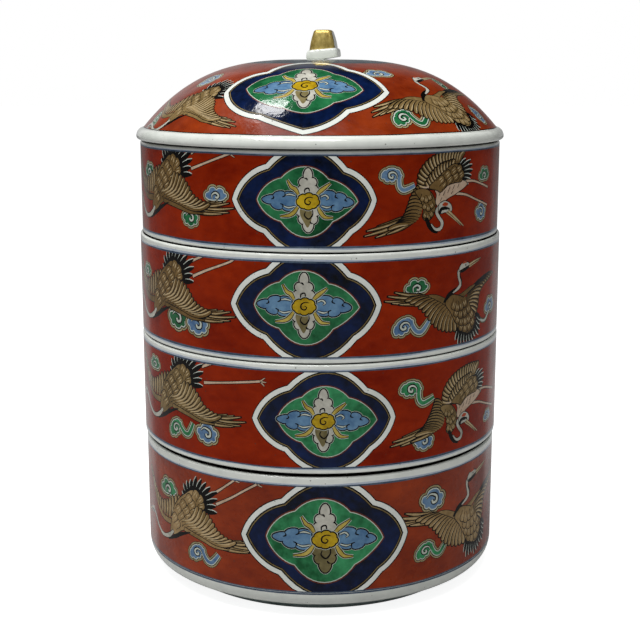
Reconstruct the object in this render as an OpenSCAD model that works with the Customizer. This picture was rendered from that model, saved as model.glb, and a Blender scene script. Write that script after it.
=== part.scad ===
/* [Tiers] */
// Outer diameter of the top tier, the narrowest of the four
top_d = 156; // [140:0.5:180]
// How much wider the third tier is than the top one
third_extra_d = 2; // [0:0.1:3]
// How much wider the second tier is than the top one
second_extra_d = 2.2; // [0:0.1:3]
// How much wider the bottom tier is than the top one
bottom_extra_d = 1; // [0:0.1:3]
// Height of the top tier, from its seat to its rim
top_h = 39.4; // [25:0.1:60]
// Height of the third tier, from its seat to its rim
third_h = 43.4; // [25:0.1:60]
// Height of the second tier, from its seat to its rim
second_h = 46.1; // [25:0.1:60]
// Height of the bottom tier, from the table to its rim
bottom_h = 61.4; // [40:0.1:80]
// Thickness of the tiers' walls
wall_t = 5.2; // [4:0.1:7]
// Thickness of the tiers' floors
floor_t = 6; // [4:0.1:8]
// Fillet between wall and floor inside a tier
floor_fillet = 4; // [2:0.5:8]
// Rounding of a rim's outer and inner edges
rim_round = 0.6; // [0.4:0.1:1]

/* [Seats] */
// Height of the ring that drops into the mouth of the tier below
ring_h = 4.5; // [3:0.1:7]
// Width of that ring
ring_w = 3.5; // [2.5:0.1:5]
// Gap between the ring and the mouth that it drops into, on the radius
ring_clearance = 0.9; // [0.4:0.1:1.5]
// Width of the land under a tier that rests on the rim below, from the mouth outwards
land_w = 2; // [1.6:0.1:2.6]
// Rounding of a wall's lower outer edge
heel_round = 1; // [0.5:0.1:1.4]
// How far the wall's lower edge stays above the seat, on the top and third tiers
seam_gap = 0.5; // [0.2:0.1:1.5]
// The same on the second tier, which has warped in the kiln and shows a wider seam
wide_seam_gap = 1.6; // [0.2:0.1:2.5]

/* [Foot] */
// Outer diameter of the bottom tier's foot ring, at the table
foot_d = 133; // [120:0.5:138]
// Height of the foot ring
foot_h = 5.5; // [4.6:0.1:8]
// Width of the foot ring, at the table
foot_w = 4.4; // [3:0.1:7]
// How far the foot ring spreads from the table up to the body
foot_spread = 1.8; // [0:0.1:3]
// How far the bottom tier's turned heel comes in
heel_w = 4.4; // [2:0.1:5]
// Height of the turned heel
heel_h = 6.6; // [3:0.1:10]
// How far the underside of the bottom floor is raised above the table
under_h = 3.8; // [2:0.1:4.5]

/* [Lid] */
// Diameter over the lid's rolled flange
flange_d = 159.2; // [159.2:0.1:185]
// How far the rolled flange stands out from the edge of the dome
roll_w = 3; // [2:0.1:5]
// Height of the roll, from its widest line to the edge of the dome
roll_h = 3.5; // [2:0.1:6]
// Height of the flange's under side, from its lower face to its widest line
flange_under_h = 1.3; // [0.6:0.1:2.5]
// Rise of the dome from its edge to its crown
dome_rise = 28.6; // [15:0.1:45]
// Fullness of the dome: 2 is a plain bowl curve, and more makes a flatter crown
dome_fullness = 3.25; // [2:0.05:4]
// Thickness of the dome
lid_t = 4.8; // [3.5:0.1:7]
// Depth of the lip that locates the lid in the top tier's mouth
lip_h = 5; // [3:0.1:8]
// Width of that lip
lip_w = 3.6; // [2.5:0.1:5]

/* [Knob] */
// Width of the knob's foot pad, across the front
pad_w = 13.6; // [10:0.1:18]
// Depth of the foot pad, front to back
pad_d = 15; // [11:0.1:18]
// Height of the foot pad at its middle
pad_h = 4.6; // [3:0.1:6]
// Height of the whole knob
knob_h = 12.5; // [9:0.1:18]
// Width of the grip just above the pad
grip_w = 11; // [8:0.1:13]
// Depth of the grip just above the pad
grip_d = 12.4; // [8:0.1:14]
// Width of the grip at its top
grip_top_w = 7.2; // [4:0.1:10]
// Depth of the grip at its top
grip_top_d = 8.6; // [4:0.1:11]
// How much one side of the pad lifts off the dome, from setting it by hand
pad_lift = 1.2; // [0.2:0.1:2]
// Rounding of the knob's upright corners
knob_round = 1.8; // [0.5:0.1:3]
// How far to the right of the lid's centre the knob was set
knob_x = 1.6; // [-4:0.1:4]
// How far the knob was turned from square, in degrees
knob_turn = -8; // [-45:1:45]

/* [Hidden] */

// Facets of a full turn, steps of a rounded edge and of the dome's curve
turn_steps = 120;
arc_steps = 5;
dome_steps = 14;

// Outer radii of the walls and radii of the mouths
top_r = top_d / 2;
third_r = (top_d + third_extra_d) / 2;
second_r = (top_d + second_extra_d) / 2;
bottom_r = (top_d + bottom_extra_d) / 2;
top_mouth_r = top_r - wall_t;
third_mouth_r = third_r - wall_t;
second_mouth_r = second_r - wall_t;
bottom_mouth_r = bottom_r - wall_t;

// Heights of the seats above the table: each seat is the rim of the tier below
second_z = bottom_h;
third_z = second_z + second_h;
top_z = third_z + third_h;
lid_z = top_z + top_h;

// Small bevel on the lower edges of rings, lips and feet
ring_bevel = ring_w / 5;
// The least that a land stays inside the wall's rounded lower edge
land_step = heel_round / 6;

// Lid: radii of its parts, and heights above its seat
flange_r = flange_d / 2;
dome_edge_r = flange_r - roll_w;
roll_z = seam_gap + flange_under_h;
dome_edge_z = roll_z + roll_h;
lip_r = top_mouth_r - ring_clearance;
lip_inner_r = lip_r - lip_w;
// The crown is left flat where the knob is fixed
crown_r = sqrt(pow(pad_w / 2, 2) + pow(pad_d / 2, 2)) + abs(knob_x);
crown_z = dome_z(crown_r);

// A stretch of an ellipse about [c_r, c_z], from angle a to angle b
function arc(c_r, c_z, w, h, a, b) = [
    for (i = [0 : arc_steps])
        let (angle = a + (b - a) * i / arc_steps)
            [c_r + w * cos(angle), c_z + h * sin(angle)]
];

// A ring that hangs from height 0 to -depth, walked from its inner side outwards
function ring_outline(outer_r, width, depth) = [
    [outer_r - width, 0],
    [outer_r - width, ring_bevel - depth],
    [outer_r - width + ring_bevel, -depth],
    [outer_r - ring_bevel, -depth],
    [outer_r, ring_bevel - depth],
    [outer_r, 0]
];

// The rim and the inside of a tier, walked from the rim's outer edge to the axis
function inside_outline(outer_r, mouth_r, rim_z, floor_z) = concat(
    arc(outer_r - rim_round, rim_z - rim_round, rim_round, rim_round, 0, 90),
    arc(mouth_r + rim_round, rim_z - rim_round, rim_round, rim_round, 90, 180),
    arc(mouth_r - floor_fillet, floor_z + floor_fillet, floor_fillet, floor_fillet, 0, -90),
    [[0, floor_z]]
);

// Height of the dome's outside above the seat, at radius r, and its slope there
function dome_z(r) = dome_edge_z + dome_rise * (1 - pow(r / dome_edge_r, dome_fullness));
function dome_slope(r) = -dome_rise * dome_fullness / dome_edge_r * pow(r / dome_edge_r, dome_fullness - 1);
function slope_length(r) = sqrt(1 + pow(dome_slope(r), 2));

// The point that lies one wall thickness inside the dome's outside at radius r
function dome_inside(r) = [
    r + lid_t * dome_slope(r) / slope_length(r),
    min(dome_z(r), crown_z) - lid_t / slope_length(r)
];

// Radius on the dome's outside whose inside point falls on the lip's inner face
function hollow_reach(r, tries) =
    tries == 0 ? r : hollow_reach(r + lip_inner_r - dome_inside(r)[0], tries - 1);

// A tier above the bottom one: its land rests on the rim of the tier below
module stacking_tier(outer_r, mouth_r, mouth_below_r, height, gap) {
    land_r = min(mouth_below_r + land_w, outer_r - heel_round - land_step);
    rotate_extrude($fn = turn_steps)
        polygon(concat(
            [[0, 0]],
            ring_outline(mouth_below_r - ring_clearance, ring_w, ring_h),
            [[land_r, 0], [land_r, gap]],
            arc(outer_r - heel_round, gap + heel_round, heel_round, heel_round, -90, 0),
            inside_outline(outer_r, mouth_r, height, floor_t)
        ));
}

// The bottom tier: a turned heel over a foot ring that stands on the table
module bottom_tier() {
    foot_r = foot_d / 2;
    foot_bevel = foot_w / 6;
    color("firebrick")
        rotate_extrude($fn = turn_steps)
            polygon(concat(
                [[0, under_h], [foot_r - foot_w - foot_bevel, under_h]],
                [[foot_r - foot_w, foot_bevel], [foot_r - foot_w + foot_bevel, 0]],
                [[foot_r - foot_bevel, 0], [foot_r, foot_bevel]],
                [[foot_r + foot_spread, foot_h]],
                arc(bottom_r - heel_w, foot_h + heel_h, heel_w, heel_h, -90, 0),
                inside_outline(bottom_r, bottom_mouth_r, bottom_h, under_h + floor_t)
            ));
}

module second_tier() {
    color("firebrick")
        translate([0, 0, second_z])
            stacking_tier(second_r, second_mouth_r, bottom_mouth_r, second_h, wide_seam_gap);
}

module third_tier() {
    color("firebrick")
        translate([0, 0, third_z])
            stacking_tier(third_r, third_mouth_r, second_mouth_r, third_h, seam_gap);
}

module top_tier() {
    color("firebrick")
        translate([0, 0, top_z])
            stacking_tier(top_r, top_mouth_r, third_mouth_r, top_h, seam_gap);
}

// The lid: a domed shell with a rolled flange, and a lip that drops into the top tier
module lid() {
    land_r = min(top_mouth_r + land_w, top_r - rim_round - land_step);
    reach = hollow_reach(lip_inner_r, arc_steps);
    color("firebrick")
        translate([0, 0, lid_z])
            rotate_extrude($fn = turn_steps)
                polygon(concat(
                    [for (i = [0 : dome_steps - 1]) dome_inside(reach * sin(90 * i / dome_steps))],
                    [[lip_inner_r, dome_inside(reach)[1]]],
                    ring_outline(lip_r, lip_w, lip_h),
                    [[land_r, 0], [land_r, seam_gap]],
                    arc(flange_r - flange_under_h, roll_z, flange_under_h, flange_under_h, -90, 0),
                    arc(dome_edge_r, roll_z, roll_w, roll_h, 0, 90),
                    [for (i = [1 : dome_steps])
                        let (r = crown_r + (dome_edge_r - crown_r) * cos(90 * i / dome_steps))
                            [r, dome_z(r)]],
                    [[0, crown_z]]
                ));
}

// Half of the knob's outline seen along one side, above a base at height 0
function knob_side(pad, grip, top) = [
    [pad / 2, 0],
    [pad / 2, pad_h - knob_round / 2],
    [grip / 2, pad_h],
    [top / 2, knob_h - knob_round / 2],
    [top / 2 - knob_round / 2, knob_h]
];

function mirrored(points) = concat(points, [
    for (i = [len(points) - 1 : -1 : 0]) [-points[i][0], points[i][1]]
]);

// A corner of the knob's plan, rounded, in the quarter that starts at angle a
function plan_corner(x, y, a) = arc(x, y, knob_round, knob_round, a, a + 90);

// An outline in width and height, cut through from front to back
module front_cut(points) {
    rotate([90, 0, 0])
        linear_extrude(height = 2 * pad_d, center = true)
            polygon(points);
}

// The knob: a tapered grip on a square pad, fixed a little askew on the crown
module knob() {
    corner_x = pad_w / 2 - knob_round;
    corner_y = pad_d / 2 - knob_round;
    color("goldenrod")
        translate([knob_x, 0, lid_z + crown_z])
            rotate([0, 0, knob_turn])
                difference() {
                    intersection() {
                        front_cut(mirrored(knob_side(pad_w, grip_w, grip_top_w)));
                        rotate([0, 0, 90])
                            front_cut(mirrored(knob_side(pad_d, grip_d, grip_top_d)));
                        linear_extrude(height = knob_h)
                            polygon(concat(
                                plan_corner(corner_x, corner_y, 0),
                                plan_corner(-corner_x, corner_y, 90),
                                plan_corner(-corner_x, -corner_y, 180),
                                plan_corner(corner_x, -corner_y, 270)
                            ));
                    }
                    front_cut([[0, 0], [pad_w, 0], [pad_w, 2 * pad_lift]]);
                }
}

bottom_tier();
second_tier();
third_tier();
top_tier();
lid();
knob();
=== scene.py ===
import math

import bpy
import numpy as np
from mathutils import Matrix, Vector
from mathutils.geometry import delaunay_2d_cdt


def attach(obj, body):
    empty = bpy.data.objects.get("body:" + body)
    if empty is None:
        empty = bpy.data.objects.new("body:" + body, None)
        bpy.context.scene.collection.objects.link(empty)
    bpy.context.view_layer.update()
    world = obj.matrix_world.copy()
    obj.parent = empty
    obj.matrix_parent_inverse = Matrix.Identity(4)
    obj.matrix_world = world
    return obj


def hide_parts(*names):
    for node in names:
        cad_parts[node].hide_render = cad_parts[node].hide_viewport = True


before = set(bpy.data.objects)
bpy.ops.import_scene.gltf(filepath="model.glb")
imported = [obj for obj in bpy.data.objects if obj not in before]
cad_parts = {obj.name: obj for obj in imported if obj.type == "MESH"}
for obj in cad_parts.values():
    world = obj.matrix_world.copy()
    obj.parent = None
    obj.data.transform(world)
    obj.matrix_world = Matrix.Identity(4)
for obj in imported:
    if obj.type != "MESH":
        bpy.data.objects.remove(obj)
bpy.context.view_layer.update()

# Bottom tier: the deepest of four turned porcelain boxes, glazed white and fired once,
# then painted by hand in underglaze blue, iron red, green, yellow and gold and fired again.
# Its foot ring and rim are wiped bare of glaze, and the turned heel stays white. The bare rim top is
# coloured near black as painted shade for the seam, and the foot's outer edge grey as painted shade.
MM = 0.001
TURN_STEPS = 120
BOTTOM_R = 78.5
BOTTOM_MOUTH_R = 73.3
BOTTOM_RIM_Z = 61.4
WALL_ROUND = 0.6
SHOULDER = 1.0
FLOOR_FILLET = 4
FOOT_R = 66.5
FOOT_W = 4.4
FOOT_H = 5.5
FOOT_SPREAD = 1.8
FOOT_BEVEL = 0.73
HEEL_W = 4.4
HEEL_H = 6.6
UNDER_Z = 3.8
FLOOR_T = 6
BAND_MARGIN = 0.1
ON_AXIS = 1e-6
SPOT_MERGE = 0.002
LINE_SNAP = 0.004
THINNEST_MARK = 0.01
PAGE_EDGE = 0.01
WALL_PAGE_W = 0.72
STRIP_STEP = 0.25
STRIP_H = 0.235
SIDE_COLUMN = 0.76
SIDE_W = 0.23
SIDE_H = 0.98


def srgb(red, green, blue):
    """A colour given in the 0 to 255 of a picture, as the shaders want it."""
    parts = [value / 255 for value in (red, green, blue)]
    return [p / 12.92 if p <= 0.04045 else ((p + 0.055) / 1.055) ** 2.4 for p in parts] + [1.0]


def group_sockets(group, inputs, outputs):
    for name, kind, value in inputs:
        group.interface.new_socket(name, in_out="INPUT", socket_type=kind).default_value = value
    for name, kind in outputs:
        group.interface.new_socket(name, in_out="OUTPUT", socket_type=kind)


def node(tree, kind, **settings):
    """A node with its properties set by name, and its inputs by their numbers or names."""
    made = tree.nodes.new("ShaderNode" + kind)
    sockets = settings.pop("sockets", {})
    for name, value in settings.items():
        setattr(made, name, value)
    for name, value in sockets.items():
        if isinstance(value, bpy.types.NodeSocket):
            tree.links.new(value, made.inputs[name])
        else:
            made.inputs[name].default_value = value
    return made


def noise(tree, at, scale, detail=3.0, rough=0.55):
    return node(tree, "TexNoise", sockets={"Vector": at, "Scale": scale, "Detail": detail,
                                           "Roughness": rough}).outputs[0]


def remapped(tree, value, low, high, to_low=0.0, to_high=1.0):
    sockets = {0: value, 1: low, 2: high, 3: to_low, 4: to_high}
    return node(tree, "MapRange", sockets=sockets).outputs[0]


def blended(tree, share, first, second):
    return node(tree, "Mix", data_type="RGBA", sockets={0: share, 6: first, 7: second}).outputs[2]


def product(tree, first, second):
    return node(tree, "Math", operation="MULTIPLY", sockets={0: first, 1: second}).outputs[0]


# What the kiln does to every glaze and enamel: thick and thin places, brush drag round
# the wall, small dark specks, and a skin that isn't quite even
FINE_GRAIN = 6.3
SPECK_GRAIN = 520.0
SPECK_CLUSTERS = 300.0
SMEAR_GRAIN = 95.0
ORANGE_PEEL_GRAIN = 420.0
RELIEF_DEPTH = 0.0004
VEIL_FROM = 0.7
VEIL_FULL = 0.77
VEIL_GLOSS = 0.04
kiln = bpy.data.node_groups.new("fired_glaze", "ShaderNodeTree")
group_sockets(
    kiln,
    [("Thick", "NodeSocketColor", (0.1, 0.1, 0.1, 1)), ("Thin", "NodeSocketColor", (0.2, 0.2, 0.2, 1)),
     ("Speck", "NodeSocketColor", (0.05, 0.04, 0.03, 1)), ("Patch", "NodeSocketFloat", 60.0),
     ("Drag", "NodeSocketFloat", 1.0), ("Specks", "NodeSocketFloat", 0.3),
     ("Gloss", "NodeSocketFloat", 0.15)],
    [("Color", "NodeSocketColor"), ("Roughness", "NodeSocketFloat"), ("Height", "NodeSocketFloat")])
asked = kiln.nodes.new("NodeGroupInput")
given = kiln.nodes.new("NodeGroupOutput")
place = kiln.nodes.new("ShaderNodeTexCoord").outputs["Object"]
stretch = node(kiln, "CombineXYZ", sockets={0: 1.0, 1: 1.0, 2: asked.outputs["Drag"]})
dragged = node(kiln, "VectorMath", operation="MULTIPLY", sockets={0: place, 1: stretch.outputs[0]}).outputs[0]
wide = noise(kiln, dragged, asked.outputs["Patch"], 4.0, 0.62)
fine = noise(kiln, dragged, product(kiln, asked.outputs["Patch"], FINE_GRAIN), 3.0, 0.5)
pooled = node(kiln, "Math", operation="MULTIPLY_ADD", sockets={0: fine, 1: 0.4, 2: wide}).outputs[0]
tone = blended(kiln, remapped(kiln, pooled, 0.5, 0.92), asked.outputs["Thick"], asked.outputs["Thin"])
crumbs = node(kiln, "TexVoronoi", sockets={"Vector": place, "Scale": SPECK_GRAIN}).outputs["Distance"]
chance = remapped(kiln, noise(kiln, place, SPECK_CLUSTERS, 1.0), 0.6, 0.66)
crumb = product(kiln, remapped(kiln, crumbs, 0.2, 0.12), product(kiln, chance, asked.outputs["Specks"]))
kiln.links.new(blended(kiln, crumb, tone, asked.outputs["Speck"]), given.inputs["Color"])
smear = remapped(kiln, noise(kiln, place, SMEAR_GRAIN, 4.0), 0.3, 0.75, 0.75, 1.6)
kiln.links.new(product(kiln, smear, asked.outputs["Gloss"]), given.inputs["Roughness"])
orange_peel = noise(kiln, place, ORANGE_PEEL_GRAIN, 2.0)
raised = node(kiln, "Math", operation="MULTIPLY_ADD", sockets={0: orange_peel, 1: 0.35, 2: pooled})
kiln.links.new(raised.outputs[0], given.inputs["Height"])


def glaze(name, thick, thin, patch=60.0, drag=1.0, specks=0.3, gloss=0.14, relief=0.25, metal=0.0,
          shine=0.15, veil=0.55):
    """A glaze or enamel of one colour, from its thick places to its thin ones, with brush drag, specks and
    relief. It mirrors most where it turns away, under a thin veil of gloss."""
    made = bpy.data.materials.new(name)
    made.use_nodes = True
    tree = made.node_tree
    skin = tree.nodes["Principled BSDF"]
    effect = node(tree, "Group", node_tree=kiln, sockets={
        "Thick": srgb(*thick), "Thin": srgb(*thin), "Patch": patch, "Drag": drag, "Specks": specks,
        "Gloss": gloss})
    relief_node = node(tree, "Bump", sockets={
        "Strength": relief, "Distance": RELIEF_DEPTH, "Height": effect.outputs["Height"]})
    tree.links.new(effect.outputs["Color"], skin.inputs["Base Color"])
    tree.links.new(effect.outputs["Roughness"], skin.inputs["Roughness"])
    tree.links.new(relief_node.outputs[0], skin.inputs["Normal"])
    skin.inputs["Metallic"].default_value = metal
    skin.inputs["Specular IOR Level"].default_value = shine
    turned_away = node(tree, "LayerWeight", sockets={"Blend": 0.5}).outputs["Facing"]
    tree.links.new(remapped(tree, turned_away, VEIL_FROM, VEIL_FULL, 0.0, veil), skin.inputs["Coat Weight"])
    skin.inputs["Coat Roughness"].default_value = VEIL_GLOSS
    return made


# Each enamel: its name, its colour where it lies thick and where it lies thin, then its patch, drag, specks
# and gloss, and its relief, metal, shine and veil where they aren't the usual ones
ENAMELS = {
    "white": glaze("white_glaze", (216, 220, 213), (236, 239, 232), 45, 1, 0.6, 0.08, 0.2, 0, 0.45),
    "bare": glaze("bare_porcelain", (176, 164, 142), (198, 188, 168), 130, 1, 0.8, 0.55, 0.3),
    # Painted shade: near black for the bare rim tops and the seat faces, standing for the shadow inside the
    # seams.
    "seam_painted_shade": glaze("rim_painted_shade", (24, 20, 16), (50, 42, 34), 130, 1, 0.4, 0.6, 0.3),
    # Painted shade: grey for the foot's outer edge and the ledge under the heel, where shade falls.
    "foot_painted_shade": glaze("foot_shade", (132, 148, 146), (170, 184, 182), 130, 1, 0.4, 0.3, 0.3),
    "red": glaze("iron_red", (116, 22, 1), (154, 43, 6), 30, 1.7, 0.6, 0.22, 0.4, 0, 0.07),
    # A more orange copy of the iron red that is also lighter: partly its tint, partly painted light for the
    # bottom tier and the lid.
    "warm_red": glaze("iron_red_warm_painted_lit", (110, 30, 3), (154, 56, 13), 30, 1.7, 0.7, 0.26, 0.8, 0, 0.2),
    "line_blue": glaze("blue_line", (44, 58, 78), (86, 102, 120), 160, 1, 0.2, 0.14, 0.2),
    "wash": glaze("blue_wash", (160, 172, 190), (192, 200, 208), 120, 1, 0.4, 0.08, 0.2, 0, 0.4),
    "ink": glaze("black_line", (5, 4, 4), (18, 15, 13), 200, 1, 0.0, 0.22, 0.2, 0, 0.1),
    "cobalt": glaze("cobalt_blue", (2, 4, 10), (12, 32, 76), 55, 1, 0.2, 0.1, 0.4, 0, 0.16),
    "gold": glaze("gold_line", (98, 82, 50), (140, 122, 82), 220, 1, 0.2, 0.3, 0.2),
    "cloud_line": glaze("cloud_line", (138, 124, 88), (176, 162, 124), 220, 1, 0.2, 0.2, 0.2),
    "rust": glaze("rust_line", (78, 28, 16), (112, 54, 34), 200, 1, 0.2, 0.22, 0.2),
    "green": glaze("copper_green", (2, 64, 31), (46, 126, 78), 70, 1, 0.3, 0.1, 0.4, 0, 0.2),
    # A lighter copy of the green: painted light for the bottom and second tiers.
    "green_thin": glaze("copper_green_painted_lit", (8, 82, 42), (60, 152, 98), 70, 1, 0.3, 0.1, 0.4, 0, 0.2),
    "pale": glaze("pale_edge", (176, 184, 174), (208, 214, 202), 200, 1, 0.3, 0.16, 0.2),
    "blue": glaze("cloud_blue", (66, 98, 138), (118, 148, 176), 120, 1, 0.3, 0.15, 0.3),
    "petal_blue": glaze("petal_blue", (64, 100, 138), (112, 150, 180), 90, 1, 0.3, 0.15, 0.3),
    "yellow": glaze("iron_yellow", (144, 114, 6), (202, 170, 34), 120, 1, 0.4, 0.16, 0.3),
    "tendril": glaze("tendril_yellow", (156, 134, 52), (200, 180, 96), 150, 1, 0.3, 0.16, 0.3),
    "petal": glaze("petal_white", (162, 160, 148), (204, 202, 190), 120, 1, 0.5, 0.15, 0.2),
    "petal_tan": glaze("petal_tan", (92, 84, 52), (138, 126, 86), 90, 1, 0.4, 0.15, 0.2),
    "feather": glaze("feather_tan", (100, 80, 44), (148, 124, 82), 90, 1, 0.4, 0.22, 0.3, 0, 0.1),
    # A lighter copy of the feather tan: painted light for the bottom tier.
    "feather_thin": glaze("feather_tan_painted_lit", (121, 97, 57), (178, 149, 106), 90, 1, 0.4, 0.22, 0.3, 0, 0.1),
    # A darker copy of the feather tan: painted shade for the third and top tiers.
    "feather_thick": glaze("feather_tan_painted_shade", (88, 67, 34), (130, 103, 62), 90, 1, 0.4, 0.22, 0.3, 0, 0.1),
    "feather_light": glaze("feather_pale", (168, 146, 106), (204, 182, 142), 180, 1, 0.3, 0.22, 0.2),
    "leg": glaze("leg_pink", (182, 156, 132), (212, 188, 164), 160, 1, 0.3, 0.18, 0.2),
    "crown_red": glaze("crown_red", (150, 44, 14), (184, 78, 34), 160, 1, 0.2, 0.18, 0.2),
    "crown_grey": glaze("crown_wash", (34, 42, 50), (78, 88, 94), 260, 1, 0.3, 0.2, 0.2, 0, 0.1, 0.0),
}
ENAMEL_NAMES = list(ENAMELS)


def arc(centre_r, centre_z, width, height, start, end, steps=8):
    """Points along a stretch of an ellipse, as radius and height."""
    turn = np.radians(np.linspace(start, end, steps + 1))
    return np.stack([centre_r + width * np.cos(turn), centre_z + height * np.sin(turn)], 1)


def wrapped(angle, radius, height):
    """Points round the axis; the angle runs from the front to the right."""
    return np.stack([radius * np.sin(angle), -radius * np.cos(angle),
                     np.broadcast_to(height, np.shape(angle))], -1)


def turned(profile, enamel, crease=32.0):
    """A turned surface. The profile runs with the outside on its right, as radius and height."""
    profile = np.array(profile, float)
    profile = profile[np.append(True, np.hypot(*np.diff(profile, axis=0).T) > 1e-4)]
    step = np.diff(profile, axis=0)
    length = np.hypot(*step.T)
    facing = np.stack([step[:, 1], -step[:, 0]], 1) / length[:, None]
    starts, ends = facing.copy(), facing.copy()
    smooth_here = np.einsum("ij,ij->i", facing[:-1], facing[1:]) > math.cos(math.radians(crease))
    mean = facing[:-1] + facing[1:]
    mean /= np.maximum(np.hypot(*mean.T), 1e-9)[:, None]
    starts[1:][smooth_here] = mean[smooth_here]
    ends[:-1][smooth_here] = mean[smooth_here]
    angles = np.radians(np.arange(TURN_STEPS + 1) * 360 / TURN_STEPS - 90)
    count = len(profile)
    points = np.concatenate([wrapped(angle, profile[:, 0], profile[:, 1]) for angle in
                             (np.full(count, a) for a in angles)])
    along = np.concatenate([[0], np.cumsum(length)]) / length.sum()
    tris, normals, uvs = [], [], []
    for j in range(count - 1):
        for k in range(TURN_STEPS):
            near, far = k * count + j, (k + 1) * count + j
            corners = ((near, k, starts[j], along[j]), (far, k + 1, starts[j], along[j]),
                       (far + 1, k + 1, ends[j], along[j + 1]), (near + 1, k, ends[j], along[j + 1]))
            for pick, tip_r in (((0, 1, 2), profile[j][0]), ((0, 2, 3), profile[j + 1][0])):
                if tip_r < ON_AXIS:
                    continue
                tris.append([corners[i][0] for i in pick])
                normals.append([[c[2][0] * math.sin(angles[c[1]]), -c[2][0] * math.cos(angles[c[1]]), c[2][1]]
                                for c in (corners[i] for i in pick)])
                uvs.append([[corners[i][3], corners[i][1] / TURN_STEPS] for i in pick])
    kinds = np.full(len(tris), ENAMEL_NAMES.index(enamel))
    return {"points": points, "tris": np.array(tris), "kinds": kinds, "normals": np.array(normals),
            "uvs": np.array(uvs), "length": length.sum()}


def covered(spots, outline):
    """Which of the spots lie inside the outline."""
    start, end = outline, np.roll(outline, -1, 0)
    x, y = spots[:, 0, None], spots[:, 1, None]
    left = (end[:, 0] - start[:, 0]) * (y - start[:, 1]) - (x - start[:, 0]) * (end[:, 1] - start[:, 1])
    up = (start[:, 1] <= y) & (end[:, 1] > y) & (left > 0)
    down = (start[:, 1] > y) & (end[:, 1] <= y) & (left < 0)
    return up.sum(1) != down.sum(1)


def topmost(spots, marks):
    """The enamel that shows at each spot: that of the last mark laid over it, or the white glaze."""
    order = np.argsort(spots[:, 0])
    across = spots[order, 0]
    kinds = np.zeros(len(spots), int)
    for enamel, outline in marks:
        low, high = outline.min(0), outline.max(0)
        near = order[np.searchsorted(across, low[0]):np.searchsorted(across, high[0])]
        near = near[(spots[near, 1] > low[1]) & (spots[near, 1] < high[1])]
        kinds[near[covered(spots[near], outline)]] = ENAMEL_NAMES.index(enamel)
    return kinds


def cut_field(lines):
    """Triangles of a flat field, cut along all the lines."""
    spots, links = [], []
    for line, closed in lines:
        first = len(spots)
        spots += [Vector(p) for p in line]
        links += [(first + i, first + i + 1) for i in range(len(line) - 1)]
        if closed:
            links.append((len(spots) - 1, first))
    cut = delaunay_2d_cdt(spots, links, [], 0, SPOT_MERGE)
    return np.array([list(p) for p in cut[0]]), np.array([face for face in cut[2] if len(face) == 3])


def painted(marks, field, rows, wrap, page):
    """A surface painted with marks, over a flat field (left, right, low, high) that wrap bends into place."""
    left, right, low, high = field
    columns = np.linspace(left, right, TURN_STEPS + 1)
    rows = np.array([low, *rows, high])
    grid = [([(x, low), (x, high)], False) for x in columns]
    grid += [([(left, y), (right, y)], False) for y in rows]
    inner_low, inner_high = low + BAND_MARGIN, high - BAND_MARGIN
    marks = [(enamel, np.clip(outline, [left, inner_low], [right, inner_high])) for enamel, outline in marks]
    marks = [(enamel, outline) for enamel, outline in marks if np.ptp(outline[:, 1]) > THINNEST_MARK]
    spots, tris = cut_field(grid + [(outline, True) for _, outline in marks])
    kinds = topmost(spots[tris].mean(1), marks)
    sides = np.sort(np.concatenate([tris[:, [0, 1]], tris[:, [1, 2]], tris[:, [2, 0]]]), axis=1)
    code = sides[:, 0] * len(spots) + sides[:, 1]
    order = np.argsort(code, kind="stable")
    pairs = np.flatnonzero(code[order][:-1] == code[order][1:])
    differs = kinds[order[pairs] % len(tris)] != kinds[order[pairs + 1] % len(tris)]
    seen = sides[order[pairs[differs]]]
    spots, tris = cut_field(grid + [(spots[pair], False) for pair in seen])
    kinds = topmost(spots[tris].mean(1), marks)
    for k, lines in ((0, columns), (1, rows)):
        nearest = lines[np.abs(spots[:, k, None] - lines).argmin(1)]
        spots[:, k] = np.where(np.abs(spots[:, k] - nearest) < LINE_SNAP, nearest, spots[:, k])
    points, normals = wrap(spots)
    return {"points": points, "tris": tris, "kinds": kinds, "normals": normals[tris],
            "uvs": page(spots[tris], field), "length": 0}


def wall_page(corners, field):
    """Lays the wall out flat in four strips, one above the other."""
    left, right, low, high = field
    quarter = (right - left) / 4
    strip = np.floor((corners[:, :, 0].mean(1) - left) / quarter).clip(0, 3)[:, None]
    across = (corners[:, :, 0] - left - strip * quarter) / quarter
    up = (corners[:, :, 1] - low) / (high - low)
    return np.stack([PAGE_EDGE + WALL_PAGE_W * across, PAGE_EDGE + STRIP_STEP * strip + STRIP_H * up], 2)


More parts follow.
